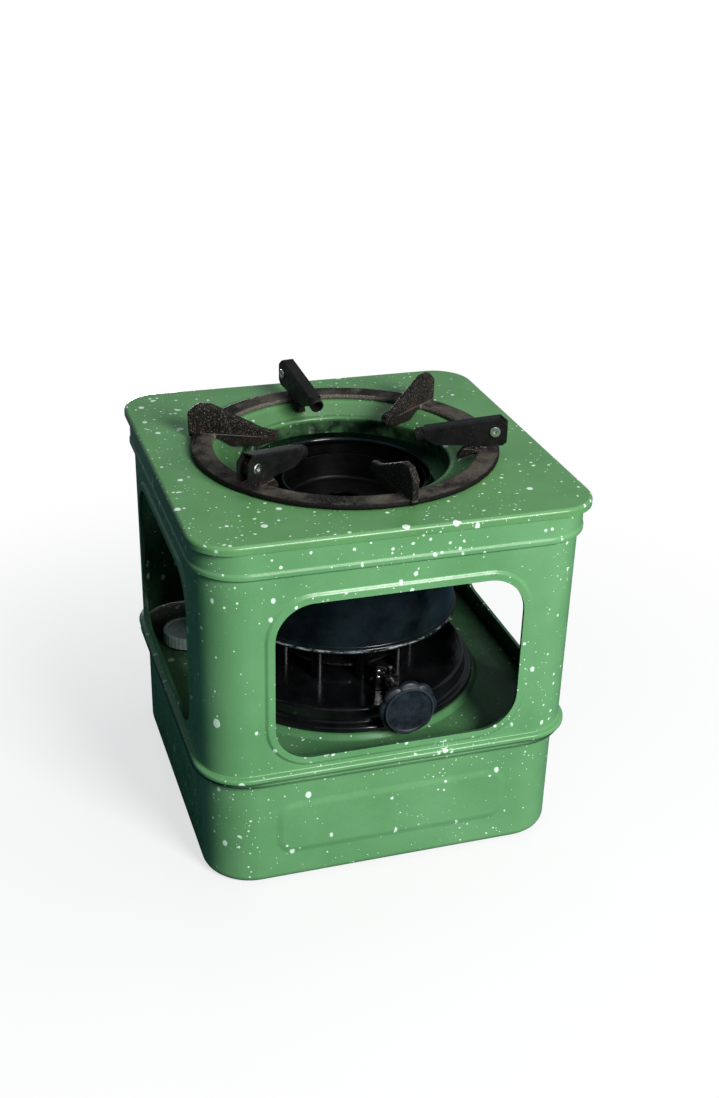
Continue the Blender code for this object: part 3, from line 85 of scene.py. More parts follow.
RING_INNER = 0.0843
RING_OUTER = 0.0988
RING_LOW = PLATE_TOP + GAP
RING_TOP = RING_LOW + 0.0036
PIVOT_RADIUS = 0.0951
PIVOT_Z = 0.2611
WEB_OUTER = 0.0974
WEB_TOP = 0.2701
WEB_INNER = 0.044
WEB_INNER_TOP = 0.2588
FIN_START = radians(37)
SUPPORT_START = radians(97)


# ---- shapes

def fillet(corners, steps=BEND_STEPS):
    # An open path. A corner that has a third number is rounded to that radius.
    points = [Vector(corner[:2]) for corner in corners]
    out = []
    for index, here in enumerate(points):
        if len(corners[index]) == 2:
            out.append(here)
            continue
        radius = corners[index][2]
        back = (points[index - 1] - here).normalized()
        ahead = (points[index + 1] - here).normalized()
        half = back.angle(ahead) / 2
        centre = here + (back + ahead).normalized() * radius / sin(half)
        start = here + back * radius / tan(half) - centre
        end = here + ahead * radius / tan(half) - centre
        total = atan2(start.x * end.y - start.y * end.x, start.dot(end))
        for step in range(steps + 1):
            out.append(centre + Matrix.Rotation(total * step / steps, 2) @ start)
    return out


def offset(path, distance):
    # Moves an open path sideways, to its right for a positive distance.
    out = []
    for index, point in enumerate(path):
        normals = []
        for first, second in ((index - 1, index), (index, index + 1)):
            if first >= 0 and second < len(path):
                along = (path[second] - path[first]).normalized()
                normals.append(Vector((along.y, -along.x)))
        middle = sum(normals, Vector((0, 0))).normalized()
        out.append(point + middle * distance / middle.dot(normals[0]))
    return out


def sheet(path, thickness):
    return [*path, *reversed(offset(path, thickness))]


def polar(radius, angle, *height):
    return (radius * cos(angle), radius * sin(angle), *height)


def arc(centre, radius, start, end, steps):
    out = []
    for step in range(steps + 1):
        x, y = polar(radius, radians(start + (end - start) * step / steps))
        out.append((centre[0] + x, centre[1] + y))
    return out


def rounded_rectangle(half, low, high, corner):
    x, top, bottom = half - corner, high - corner, low + corner
    out = []
    for quarter, centre in enumerate(((x, top), (-x, top), (-x, bottom), (x, bottom))):
        out += arc(centre, corner, quarter * 90, quarter * 90 + 90, CORNER_STEPS)
    return out


def square_ring(half, corner, z):
    return [(x, y, z) for x, y in rounded_rectangle(half, -half, half, max(corner, 0.003))]


def round_ring(radius, z, steps=ROUND_STEPS, centre=(0, 0), wave=None):
    out = []
    for step in range(steps):
        angle = 2 * pi * step / steps
        x, y = polar(radius + (wave(angle, z) if wave else 0), angle)
        out.append((centre[0] + x, centre[1] + y, z))
    return out


def band(shape, first, second, start=0):
    for index in range(start, len(first)):
        after = (index + 1) % len(first)
        shape.faces.new((first[index], first[after], second[after], second[index]))


def zip_band(shape, first, second):
    # Joins two rings that have different numbers of points, across the shorter way each time.
    def angle_of(vert):
        return atan2(vert.co.y, vert.co.x) % (2 * pi)

    one, two = sorted(first, key=angle_of), sorted(second, key=angle_of)
    i = j = 0
    while i < len(one) or j < len(two):
        a, b = one[i % len(one)], two[j % len(two)]
        next_a, next_b = one[(i + 1) % len(one)], two[(j + 1) % len(two)]
        nearer = (next_a.co - b.co).length <= (next_b.co - a.co).length
        if j >= len(two) or (i < len(one) and nearer):
            shape.faces.new((a, next_a, b))
            i += 1
        else:
            shape.faces.new((a, next_b, b))
            j += 1


def skin(rings, loop=False, caps=False):
    # A surface through rings that have the same number of points.
    shape = bmesh.new()
    made = [[shape.verts.new(point) for point in ring] for ring in rings]
    for first, second in zip(made, made[1:]):
        band(shape, first, second)
    if loop:
        band(shape, made[-1], made[0])
    if caps:
        shape.faces.new(made[0])
        shape.faces.new(made[-1])
    return shape


def lathe(section, steps=ROUND_STEPS, centre=(0, 0), wave=None):
    # Turns a closed section of (radius, height) points. A section that starts and ends on the
    # axis closes there, and any other closes on itself. The wave is for points with a third number.
    on_axis = section[0][0] == 0
    points = section[1:-1] if on_axis else section
    rings = [round_ring(p[0], p[1], steps, centre, wave if len(p) > 2 else None) for p in points]
    return skin(rings, loop=not on_axis, caps=on_axis)


def swept_square(section, half, corner, **ends):
    return skin([square_ring(p[0], corner + p[0] - half, p[1]) for p in section], **ends)


def prism(outline, low, high, place):
    # Extrudes a flat outline. place turns (u, v, w) into a point of the stove.
    return skin([[place(u, v, w) for u, v in outline] for w in (low, high)], caps=True)


def radial(angle):
    # The vertical plane at an angle about the stove's axis: u outward, v up, w across.
    x, y = polar(1, angle)
    return lambda u, v, w: (u * x - w * y, u * y + w * x, v)


def frontal(u, v, w):
    return (u, w, v)


def moved(shape, matrix):
    bmesh.ops.transform(shape, matrix=matrix, verts=shape.verts)
    return shape


def turned(angle, axis="Z"):
    return Matrix.Rotation(angle, 4, axis)


def side_turn(quarter):
    return turned(quarter * pi / 2)


def laid(shape, start, end):
    # Lays a shape that stands on the origin along a line.
    along = (Vector(end) - Vector(start)).normalized()
    turn = Vector((0, 0, 1)).rotation_difference(along).to_matrix().to_4x4()
    return moved(shape, Matrix.Translation(start) @ turn)


def rod(radius, start, end, steps=SMALL_STEPS, chamfer=0.0):
    length = (Vector(end) - Vector(start)).length
    edge = [(radius - chamfer, 0), (radius, chamfer)] if chamfer else [(radius, 0)]
    section = [(0, 0), *edge, *((r, length - z) for r, z in reversed(edge)), (0, length)]
    return laid(lathe(section, steps), start, end)


def headed_rivet(shank, head, thick, start, end):
    # A shank along a line, with a low dome at each end.
    length = (Vector(end) - Vector(start)).length
    dome = [(head * cos(turn), thick * sin(turn)) for turn in map(radians, (0, 25, 50, 72))]
    section = [(0, -thick), *((r, -z) for r, z in reversed(dome)), (shank, 0), (shank, length)]
    section += [*((r, length + z) for r, z in dome), (0, length + thick)]
    return laid(lathe(section, SMALL_STEPS), start, end)


def mesh_of(name, shape):
    mesh = bpy.data.meshes.new(name)
    shape.to_mesh(mesh)
    shape.free()
    return mesh


def linked(name, data):
    made = bpy.data.objects.new(name, data)
    bpy.context.collection.objects.link(made)
    return made


def joined(shapes):
    whole = bmesh.new()
    for shape in shapes:
        mesh = mesh_of("part", shape)
        whole.from_mesh(mesh)
        bpy.data.meshes.remove(mesh)
    return whole


def cleaned(shape):
    bmesh.ops.remove_doubles(shape, verts=shape.verts, dist=WELD)
    bmesh.ops.recalc_face_normals(shape, faces=shape.faces)
    return shape


def bare_object(shape):
    return linked("work", mesh_of("work", cleaned(shape)))


def worked(made, *others):
    # The shape that an object's modifiers give. The objects it was made from are removed.
    shape = bmesh.new()
    shape.from_object(made, bpy.context.evaluated_depsgraph_get())
    for item in (made, *others):
        mesh = item.data
        bpy.data.objects.remove(item)
        bpy.data.meshes.remove(mesh)
    return shape


def combine(first, second, operation):
    made, other = bare_object(first), bare_object(second)
    step = made.modifiers.new("step", "BOOLEAN")
    step.operation = operation
    step.object = other
    step.solver = "EXACT"
    return worked(made, other)


def fused(first, second):
    return combine(first, second, "UNION")


def without(first, second):
    return combine(first, second, "DIFFERENCE")


def pressed(shape, quarter, field, wall, rise, slope):
    # Presses a field into one side: it starts just under the wall and rises in an S-curve.
    half, low, high, corner = field
    under, steps = 0.00003, 7
    rings = [[(u, -wall + SHEET / 2, v) for u, v in rounded_rectangle(*field)]]
    for step in range(steps + 1):
        share = step / steps
        inset = slope * share
        height = (rise + under) * (1 - cos(pi * share)) / 2 - under
        outline = rounded_rectangle(half - inset, low + inset, high - inset, corner - inset)
        rings.append([(u, -wall - height, v) for u, v in outline])
    return fused(shape, moved(skin(rings, caps=True), side_turn(quarter)))


def square_to_round(square_path, round_path, half, corner):
    # A bent sheet whose outer edge is a rounded square and whose inner edge is a circle.
    shape = bmesh.new()
    whole, split = [*square_path, *round_path], len(square_path)
    sides = []
    for side in (whole, offset(whole, -SHEET)):
        loops = [square_ring(p.x, corner + p.x - half, p.y) for p in side[:split]]
        loops += [round_ring(p.x, p.y) for p in side[split:]]
        rings = [[shape.verts.new(point) for point in loop] for loop in loops]
        for index in range(len(rings) - 1):
            join = zip_band if index == split - 1 else band
            join(shape, rings[index], rings[index + 1])
        sides.append(rings)
    for end in (0, -1):
        band(shape, sides[0][end], sides[1][end])
    return shape


def soften(made, bevel, weighted=True):
    if bevel:
        step = made.modifiers.new("edges", "BEVEL")
        step.width = bevel
        step.segments = 2
        step.limit_method = "ANGLE"
        step.angle_limit = radians(40)
    if weighted:
        made.modifiers.new("flats", "WEIGHTED_NORMAL").keep_sharp = True


def dressed(made, body, node):
    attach(made, body)
    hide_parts(node)
    return made


def piece(node, kind, shape, look, body, sharp=SMOOTH_ANGLE, bevel=0, weighted=True, inner=None):
    # kind ends the piece's name, or is a tube's whole name. inner tells which faces have the
    # second material, the painted shade of the casing's inside.
    name = kind if kind.startswith("wick") else node + "_" + kind
    cleaned(shape)
    if inner:
        shape.normal_update()
        for face in shape.faces:
            face.material_index = int(inner(face))
    mesh = mesh_of(name, shape)
    mesh.shade_smooth()
    mesh.set_sharp_from_angle(angle=sharp)
    mesh.materials.append(look)
    if inner:
        mesh.materials.append(SHADED_INSIDE_LOOK)
    made = linked(name, mesh)
    soften(made, bevel, weighted)
    return dressed(made, body, node)


# ---- materials

class Graph:
    # Short calls for the nodes of a material or of the world.

    def __init__(self, owner):
        owner.use_nodes = True
        self.owner, self.tree = owner, owner.node_tree

    def node(self, kind, sockets=(), **settings):
        made = self.tree.nodes.new("ShaderNode" + kind)
        for key, value in settings.items():
            setattr(made, key, value)
        for key, value in dict(sockets).items():
            if isinstance(value, bpy.types.NodeSocket):
                self.tree.links.new(value, made.inputs[key])
            else:
                made.inputs[key].default_value = value
        return made

    def math(self, operation, *values, clamp=False):
        return self.node("Math", enumerate(values), operation=operation, use_clamp=clamp).outputs[0]

    def times(self, first, *others):
        for other in others:
            first = self.math("MULTIPLY", first, other)
        return first

    def plus(self, base, value, factor):
        return self.math("MULTIPLY_ADD", value, factor, base)

    def greater(self, first, second):
        return self.math("MAXIMUM", first, second)

    def vector(self, operation, *values):
        made = self.node("VectorMath", enumerate(values), operation=operation)
        return made.outputs["Value" if operation == "LENGTH" else "Vector"]

    def remap(self, value, low, high, to_low=0.0, to_high=1.0, **settings):
        sockets = {"Value": value, "From Min": low, "From Max": high, "To Min": to_low, "To Max": to_high}
        return self.node("MapRange", sockets, **settings).outputs["Result"]

    def within(self, value, start, full, last, end):
        # One from full to last, and nothing before the start and after the end.
        return self.times(self.remap(value, start, full), self.remap(value, end, last))

    def mix(self, factor, first, second):
        sockets = {0: factor, 6: as_colour(first), 7: as_colour(second)}
        return self.node("Mix", sockets, data_type="RGBA").outputs[2]


class Look(Graph):
    # A material of the stove, laid out in its objects' own coordinates.

    def __init__(self, name, metallic=0.0, specular=0.5):
        super().__init__(bpy.data.materials.new(name))
        self.shader = self.tree.nodes["Principled BSDF"]
        self.shader.inputs["Metallic"].default_value = metallic
        self.shader.inputs["Specular IOR Level"].default_value = specular
        self.place = self.node("TexCoord").outputs["Object"]

    def split(self):
        return self.node("SeparateXYZ", {0: self.place}).outputs

    def stretched(self, rise):
        return self.vector("MULTIPLY", self.place, (1, 1, rise))

    def reach(self, axis=(0, 0, 0), flat=(1, 1, 0)):
        # The distance from an axis.
        return self.vector("LENGTH", self.vector("MULTIPLY", self.vector("SUBTRACT", self.place, axis), flat))

    def noise(self, scale, detail=2.0, roughness=0.5, place=None, output="Fac"):
        sockets = {"Vector": place or self.place, "Scale": scale, "Detail": detail, "Roughness": roughness}
        return self.node("TexNoise", sockets).outputs[output]

    def patches(self, noise, low=0.3, high=0.7, *ends):
        return self.remap(self.noise(*noise), low, high, *ends)

    def ground(self, mask, first, second):
        self.colour = self.mix(mask, first, second)

    def over(self, tint, mask, share=1):
        # Lays a tint over the colour so far, where the mask says so.
        self.colour = self.mix(mask if share == 1 else self.times(mask, share), self.colour, tint)

    def finish(self, roughness, height):
        # height is in metres.
        bump = self.node("Bump", {"Height": height, "Strength": 1.0, "Distance": 1.0}).outputs["Normal"]
        for name, value in (("Base Color", self.colour), ("Roughness", roughness), ("Normal", bump)):
            self.tree.links.new(value, self.shader.inputs[name])
        return self.owner


def as_colour(value):
    return (*value, 1.0) if isinstance(value, tuple) else value


# Splatter: size of the cells that hold one speck each, its least and greatest radius, the share
# of the cells that have one, and how flat the specks are drawn.
SPECKS = (
    (0.0112, 0.0015, 0.0027, 0.4, 0.76),
    (0.0062, 0.0007, 0.0013, 0.55, 1.0),
    (0.0036, 0.0003, 0.0006, 0.62, 1.0),
)
MINT = (0.74, 0.92, 0.77)
# A near-black green, laid on as painted shade and darkening.
PAINTED_SHADE_GREEN = (0.003, 0.009, 0.005)


def splatter(look, shift, amount):
    # Droplets of pale enamel: balls round random points of space, cut by the sheet's surface.
    wobble = look.vector("SUBTRACT", look.noise(420, 2, output="Color"), (0.5, 0.5, 0.5))
    wobble = look.node("VectorMath", {0: wobble, "Scale": 0.0011}, operation="SCALE").outputs["Vector"]
    place = look.vector("ADD", look.vector("ADD", look.place, wobble), shift)
    cluster = look.patches((17, 1, 0.5, place), 0.38, 0.62, 0.3 * amount, 1.70 * amount)
    total = None
    for cell, least, most, share, flat in SPECKS:
        drawn = look.vector("MULTIPLY", place, (1, 1, flat))
        cells = look.node("TexVoronoi", {"Vector": drawn, "Scale": 1 / cell}).outputs
        chance, size, _ = look.node("SeparateColor", {0: cells["Color"]}).outputs
        wanted = look.math("GREATER_THAN", look.plus(chance, cluster, share), 1.0)
        radius = look.remap(look.math("POWER", size, 1.4), 0, 1, least / cell, most / cell)
        inside = look.math("SUBTRACT", look.times(radius, wanted), cells["Distance"])
        mask = look.math("MULTIPLY", inside, 5.0 * cell / most, clamp=True)
        total = mask if total is None else look.greater(total, mask)
    return total


def enamel(name, base, deep, shift, amount=1.0, specular=0.4, dim=None, splash=None):
    # dim gives the share of painted shade and darkening at a place, and splash that of spilt enamel.
    look = Look(name, specular=specular)
    drops = splatter(look, shift, amount)
    if splash:
        drops = look.greater(drops, splash(look))
    look.ground(look.patches((22, 3)), deep, base)
    look.over(MINT, look.patches((2600, 2), 0.55, 0.8), 0.12)
    look.over(deep, look.patches((60, 4, 0.65), 0.56, 0.78), 0.3)
    look.over(MINT, drops, 0.95)
    # Painted shade, where dim asks for it.
    if dim:
        look.over(PAINTED_SHADE_GREEN, dim(look))
    peel = look.plus(look.times(look.noise(20, 1), 0.0007), look.noise(520, 2), 0.00005)
    height = look.plus(peel, drops, 0.0001)
    return look.finish(look.patches((90, 3), 0.3, 0.7, 0.24, 0.4), height)


def splashed(look):
    # Pale enamel that was spilt at the front seam, under the knob, and ran down.
    x, y, z = look.split()
    across = look.within(x, 0.0245, 0.0275, 0.0345, 0.0375)
    down = look.within(z, 0.0775, 0.0795, 0.0895, 0.0915)
    runs = look.patches((430, 3, 0.6, look.stretched(0.22)), 0.52, 0.6)
    return look.times(across, down, look.math("LESS_THAN", y, -0.11), runs)


def shaded_cover_walls(look):
    # Painted shade: the cover darkens beside the casing's side walls and towards the back wall.
    x, y, z = look.split()
    reach = look.plus(look.math("ABSOLUTE", x), look.noise(40, 3), 0.016)
    return look.greater(look.remap(reach, 0.088, 0.116, 0, 0.88), look.remap(y, 0.01, 0.08, 0, 0.55))


def shaded_mouth(look):
    # The dish darkens a little towards the mouth, and painted shade darkens the mouth's flange below its
    # rolled edge.
    z = look.split()[2]
    reach = look.plus(look.reach(), look.noise(120, 3), 0.0012)
    inward = look.remap(reach, MOUTH_RADIUS + 0.0018, MOUTH_RADIUS + 0.0004)
    downward = look.remap(z, PLATE_TOP - 0.0063, PLATE_TOP - 0.0095, 0.35, 0.97)
    return look.greater(look.remap(reach, 0.0855, 0.08, 0, 0.34), look.times(inward, downward))


def black_enamel(name, low, high, rough, specular=0.4, glint_band=None, sooty=None):
    # glint_band is a band of heights with a painted highlight in broken pale streaks, and sooty one that is
    # dull with soot.
    look = Look(name, specular=specular)
    z = look.split()[2]
    look.ground(look.patches((45, 4, 0.6), 0.35, 0.7), low, high)
    look.over((0.09, 0.09, 0.09), look.patches((1400, 3, 0.7), 0.62, 0.8), 0.14)
    if glint_band:
        # Painted highlight: pale broken streaks along the band.
        start, end = glint_band
        edge = (end - start) / 5
        chips_and_glints = look.patches((95, 5, 0.72, look.stretched(3)), 0.48, 0.6)
        painted_light = look.times(look.within(z, start, start + edge, end - edge, end), chips_and_glints)
        look.over((0.4, 0.43, 0.44), painted_light, 0.8)
    shine = look.patches((70, 4, 0.6), 0.3, 0.75, *rough)
    if sooty:
        start, end = sooty
        soot = look.within(z, start, start + 0.01, end - 0.001, end)
        look.over((0.0008, 0.0008, 0.0009), soot, 0.9)
        shine = look.greater(shine, look.times(soot, 0.36))
    height = look.plus(look.times(look.noise(26, 1), 0.0004), look.noise(480, 2), 0.00004)
    return look.finish(shine, height)


def cast_iron():
    look = Look("sand-cast iron", metallic=0.06, specular=0.14)
    z, reach = look.split()[2], look.reach()
    grain = look.noise(1100, 4, 0.7)
    look.ground(look.patches((38, 4, 0.62), 0.4, 0.62), (0.0026, 0.0023, 0.0019), (0.016, 0.0125, 0.01))
    look.over((0.05, 0.026, 0.015), look.patches((85, 5, 0.7), 0.54, 0.7), 0.4)
    # Painted glints: pale grains of sand and scale, full on the fins above the ring's top and weaker lower
    # down.
    upper = look.remap(z, RING_TOP - 0.0004, RING_TOP + 0.0008, 0.35, 1.0)
    look.over((0.26, 0.24, 0.21), look.times(look.remap(grain, 0.56, 0.66), upper), 0.7)
    # Painted light: paler patches on the ring's top.
    top = look.within(z, *(RING_TOP + step for step in (-0.0003, 0.0001, 0.0003, 0.0007)))
    painted_light = look.times(look.patches((34, 4, 0.65), 0.45, 0.6), top)
    look.over((0.15, 0.132, 0.108), painted_light, 0.7)
    # Painted shade darkens the ring's outer wall, and painted light makes its bore pale; the bore is bare and
    # rough.
    side = look.remap(z, RING_TOP + 0.0001, RING_TOP - 0.0005)
    outer = look.remap(reach, RING_OUTER - 0.0028, RING_OUTER - 0.0008, 0, 0.9)
    look.over((0.0022, 0.0021, 0.0018), look.times(side, outer))
    bore = look.within(reach, *(RING_INNER + step for step in (-0.0013, -0.0005, 0.0003, 0.0013)))
    cast = look.times(side, bore, look.remap(grain, 0.44, 0.56, 0.3, 0.85))
    look.over((0.19, 0.17, 0.145), cast)
    pits = look.node("TexVoronoi", {"Vector": look.place, "Scale": 900.0}).outputs["Distance"]
    height = look.plus(look.times(pits, 0.00012), grain, 0.00034)
    return look.finish(look.remap(grain, 0.35, 0.7, 0.78, 0.42), height)


def black_paint():
    look = Look("satin black paint", specular=0.16)
    chips_and_glints = look.patches((520, 5, 0.75), 0.63, 0.67)
    look.ground(look.patches((120, 4)), (0.0036, 0.0038, 0.0038), (0.01, 0.0105, 0.01))
    look.over((0.1, 0.09, 0.08), chips_and_glints, 0.5)
    height = look.plus(look.times(chips_and_glints, -0.00003), look.noise(700, 3), 0.00007)
    return look.finish(look.patches((200, 4, 0.6), 0.3, 0.7, 0.32, 0.58), height)


def steel(name, low, high, rough, drawn=1, stain=None):
    look = Look(name, metallic=1.0)
    place = look.stretched(drawn)
    look.ground(look.patches((240, 4, 0.65, place), 0.32, 0.68), low, high)
    stain = stain or tuple(0.45 * c for c in low)
    look.over(stain, look.patches((150, 4, 0.7), 0.56, 0.74), 0.5)
    shine = look.patches((600, 3, 0.6, place), 0.3, 0.7, *rough)
    return look.finish(shine, look.times(look.noise(1500, 2, 0.5, place), 0.00002))


def aluminium():
    # Turned metal: the fine rings run round the cap's own axis.
    look = Look("pressed aluminium, dulled, painted shade", metallic=0.55)
    turns = look.times(look.reach((*FILLER, 0)), 2600.0)
    line = look.node("TexNoise", {"W": turns, "Scale": 1.0}, noise_dimensions="1D").outputs["Fac"]
    # The base colours are darkened and tinted blue-green: painted shade and a painted reflection of the green
    # enamel round the cap.
    look.ground(look.patches((160, 4, 0.6), 0.3, 0.75), (0.21, 0.28, 0.27), (0.38, 0.48, 0.46))
    look.over((0.16, 0.19, 0.19), look.remap(line, 0.5, 0.7), 0.14)
    return look.finish(look.remap(line, 0.3, 0.7, 0.26, 0.46), look.times(line, 0.00002))


def bakelite():
    look = Look("blue-black bakelite", specular=0.35)
    look.ground(look.patches((130, 4, 0.6), 0.35, 0.7), (0.0055, 0.0085, 0.0115), (0.014, 0.022, 0.029))
    look.over((0.075, 0.095, 0.105), look.patches((900, 4, 0.75), 0.58, 0.7), 0.3)
    # Painted highlight: the ring round the face is drawn pale.
    ring = look.remap(look.reach((SHAFT_X, 0, SHAFT_Z), (1, 0, 1)), 0.015, 0.0158)
    front = look.remap(look.split()[1], KNOB_FACE + 0.0008, KNOB_FACE + 0.0005)
    look.over((0.042, 0.056, 0.063), look.times(ring, front), 0.55)
    rough = look.patches((260, 3), 0.3, 0.7, 0.34, 0.52)
    return look.finish(rough, look.times(look.noise(900, 3), 0.00005))


def cotton():
    # Braided yarn, with a charred, oily top.
    look = Look("braided cotton", specular=0.2)
    look.shader.inputs["Sheen Weight"].default_value = 0.35
    x, y, z = look.split()
    turn, lean = look.times(look.math("ARCTAN2", y, x), 6.0), look.times(z, 1500.0)
    one, two = (look.math("SINE", look.math(way, turn, lean)) for way in ("ADD", "SUBTRACT"))
    yarn = look.greater(look.math("ABSOLUTE", one), look.math("ABSOLUTE", two))
    fluff = look.noise(2600, 3, 0.7)
    edge = look.plus(z, look.noise(700, 2), 0.004)
    look.ground(look.remap(yarn, 0.3, 1.0), (0.36, 0.32, 0.24), (0.74, 0.7, 0.6))
    look.over((0.5, 0.45, 0.36), look.remap(fluff, 0.45, 0.8), 0.35)
    look.over((0.035, 0.024, 0.018), look.remap(edge, 0.1335, 0.1395))
    look.over((0.006, 0.005, 0.005), look.remap(edge, 0.1385, 0.1402))
    height = look.plus(look.times(fluff, 0.0002), yarn, 0.00022)
    return look.finish(look.remap(fluff, 0.2, 0.8, 0.8, 0.97), height)


def fibre():
    look = Look("vulcanised fibre", specular=0.3)
    strand = look.noise(900, 4, 0.7, look.stretched(6))
    look.ground(look.remap(strand, 0.3, 0.7), (0.03, 0.018, 0.013), (0.085, 0.05, 0.035))
    return look.finish(look.remap(strand, 0.3, 0.7, 0.6, 0.85), look.times(strand, 0.00008))


# Each green has a lighter and a deeper tone. The three numbers after them shift the splatter.
GREEN = ((0.142, 0.348, 0.148), (0.104, 0.286, 0.11))
# The plate's, the cover's and the inner greens are darker copies of the casing's green: painted shade.
SHADED_PLATE_GREEN = ((0.12, 0.305, 0.11), (0.092, 0.255, 0.086))
SHADED_COVER_GREEN = ((0.08, 0.215, 0.086), (0.05, 0.15, 0.058))
SHADED_INNER_GREEN = ((0.036, 0.11, 0.052), (0.018, 0.064, 0.028))
CASING_SHIFT = (0.57, 0.19, 0.05)
TANK_LOOK = enamel("green enamel, tank", *GREEN, (0.31, 0.07, 0.13), 0.85, splash=splashed)
COVER_LOOK = enamel("green enamel with painted shade, tank cover", *SHADED_COVER_GREEN, (0.02, 0.41, 0.23), 1.2, 0.14, shaded_cover_walls)
CASING_LOOK = enamel("green enamel, casing", *GREEN, CASING_SHIFT, 1.1, splash=splashed)
SHADED_INSIDE_LOOK = enamel("dark enamel with painted shade, inside of the casing", *SHADED_INNER_GREEN, CASING_SHIFT, 0.7, 0.15)
PLATE_LOOK = enamel("green enamel with painted shade, top plate", *SHADED_PLATE_GREEN, (0.11, 0.66, 0.37), 1.2, dim=shaded_mouth)
BURNER_LOOK = black_enamel("black enamel", (0.0024, 0.0026, 0.0029), (0.0072, 0.008, 0.009), (0.08, 0.24))
DRUM_LOOK = black_enamel(
    "blue-black enamel", (0.0016, 0.0028, 0.0036), (0.0092, 0.0148, 0.018), (0.12, 0.28), 0.28,
    glint_band=(DRUM_LOW + 0.0014, DRUM_LOW + 0.0032), sooty=(0.203, 0.2265),
)
SOOTY_LOOK = black_enamel(
    "sooty black enamel", (0.0007, 0.0007, 0.0008), (0.0022, 0.0022, 0.0024), (0.3, 0.55), 0.14
)
IRON_LOOK = cast_iron()
PAINT_LOOK = black_paint()
ZINC_LOOK = steel("darkened zinc plate", (0.045, 0.045, 0.048), (0.2, 0.2, 0.2), (0.22, 0.44))
BRIGHT_LOOK = steel("bright rivet steel", (0.5, 0.5, 0.5), (0.74, 0.74, 0.73), (0.2, 0.36))
TUBE_LOOK = steel(
    "darkened tube steel", (0.014, 0.014, 0.016), (0.055, 0.055, 0.058), (0.22, 0.42),
    drawn=0.15, stain=(0.018, 0.011, 0.007),
)
CAP_LOOK = aluminium()
KNOB_LOOK = bakelite()
COTTON_LOOK = cotton()
FIBRE_LOOK = fibre()


# ---- tank

def make_tank():
    flange = COVER_TOP - 2 * SHEET - GAP
    path = fillet((
        (FLANGE_HALF, flange), (TANK_HALF, flange, 0.0011), (TANK_HALF, 0, 0.0055),
        (0.098, 0, 0.0015), (0.096, 0.002, 0.0015), (0.09, 0.002),
    ))
    shape = swept_square([*reversed(offset(path, SHEET)), *path], TANK_HALF, TANK_CORNER, caps=True)
    panel = (0.078, 0.0195, 0.0605, 0.012)
    for quarter in range(4):
        shape = pressed(shape, quarter, panel, TANK_HALF, 0.001, 0.006)
    piece("tank_pan", "enamelled", shape, TANK_LOOK, "tank")

    lip = flange - GAP - SHEET
    hem = fillet((
        (SEAM_HALF - 0.0032, lip), (SEAM_HALF, lip, 0.0013),
        (SEAM_HALF, COVER_TOP, 0.0013), (TANK_HALF, COVER_TOP),
    ))
    seat = fillet((
        (0.1, COVER_TOP), (0.0948, COVER_TOP, 0.0018), (0.0922, SEAT_TOP, 0.0018), (WELL_RADIUS, SEAT_TOP)
    ))
    drill = rod(NECK_RADIUS + GAP, (*FILLER, COVER_TOP - CUT), (*FILLER, COVER_TOP + CUT))
    shape = without(square_to_round(hem, seat, TANK_HALF, TANK_CORNER), drill)
    piece("tank_cover", "enamelled", shape, COVER_LOOK, "tank")


def make_filler():
    flange = COVER_TOP + GAP
    flange_top = flange + 0.0009
    bore, root, sleeve = NECK_RADIUS - 0.0014, NECK_RADIUS - 0.0006, NECK_RADIUS - 0.0002
    low, high, pitch, levels = flange_top + 0.0002, NECK_TOP - 0.0006, 0.003, 28

    def ridge(angle, z):
        # The neck's thread is two turns of a rounded ridge.
        crest = max(0.0, cos(2 * pi * (z - low) / pitch - angle))
        fade = min(1.0, (z - low) / 0.001, (high - z) / 0.001)
        return 0.0006 * crest * max(fade, 0.0)

    section = [
        (bore, COVER_TOP - CUT), (sleeve, COVER_TOP - CUT), (sleeve, flange), (0.0152, flange),
        (0.0152, flange_top), (root, flange_top),
        *((root, low + (high - low) * level / levels, 1) for level in range(levels + 1)),
        (root, NECK_TOP - 0.0002), (root - 0.0002, NECK_TOP), (bore, NECK_TOP),
    ]
    neck = lathe(section, ROUND_STEPS, FILLER, ridge)
    piece("filler_neck", "threaded", neck, ZINC_LOOK, "tank")

    low, hole, edge = NECK_TOP + GAP, 0.0104, 0.0003
    high = low + 0.0013
    section = fillet((
        (0.0115, low), (NECK_RADIUS, low, edge), (NECK_RADIUS, high, edge),
        (hole, high, edge), (hole, low, edge), (0.0115, low),
    ), 3)[:-1]
    gasket = lathe(section, SMALL_STEPS * 2, FILLER)
    piece("filler_gasket", "ring", gasket, FIBRE_LOOK, "filler_gasket")

    inside, skirt = high + GAP, flange_top + 0.0012
    top, radius, ribs = inside + 0.0017, 0.0168, 36
    profile = fillet((
        (0.0, inside), (NECK_RADIUS + GAP, inside, 0.0003), (NECK_RADIUS + GAP, skirt, 0.0002),
        (radius, skirt, 0.0003), (radius, top, 0.0009), (radius - 0.0021, top, 0.0004),
        (radius - 0.0027, top - 0.0006, 0.0004), (0.0, top - 0.0006),
    ), 4)
    face = profile.pop()
    for groove in (0.0118, 0.0086, 0.0052):
        bends = ((0.00045, 0), (0, 0.00016), (-0.00045, 0))
        profile += [Vector((groove + side, face.y - dip)) for side, dip in bends]
    profile += [Vector((0.0016, face.y)), face]
    section = []
    for point in profile:
        ribbed = point.x > radius - 0.0004 and skirt + 0.0004 < point.y < top - 0.0004
        section.append((*point, 1) if ribbed else tuple(point))

    def ribbing(angle, z):
        return -0.00042 * (0.5 - 0.5 * cos(ribs * angle)) ** 0.6

    cap = lathe(section, ribs * 8, FILLER, ribbing)
    piece("filler_cap", "ribbed", cap, CAP_LOOK, "filler_cap")


# ---- casing and top plate

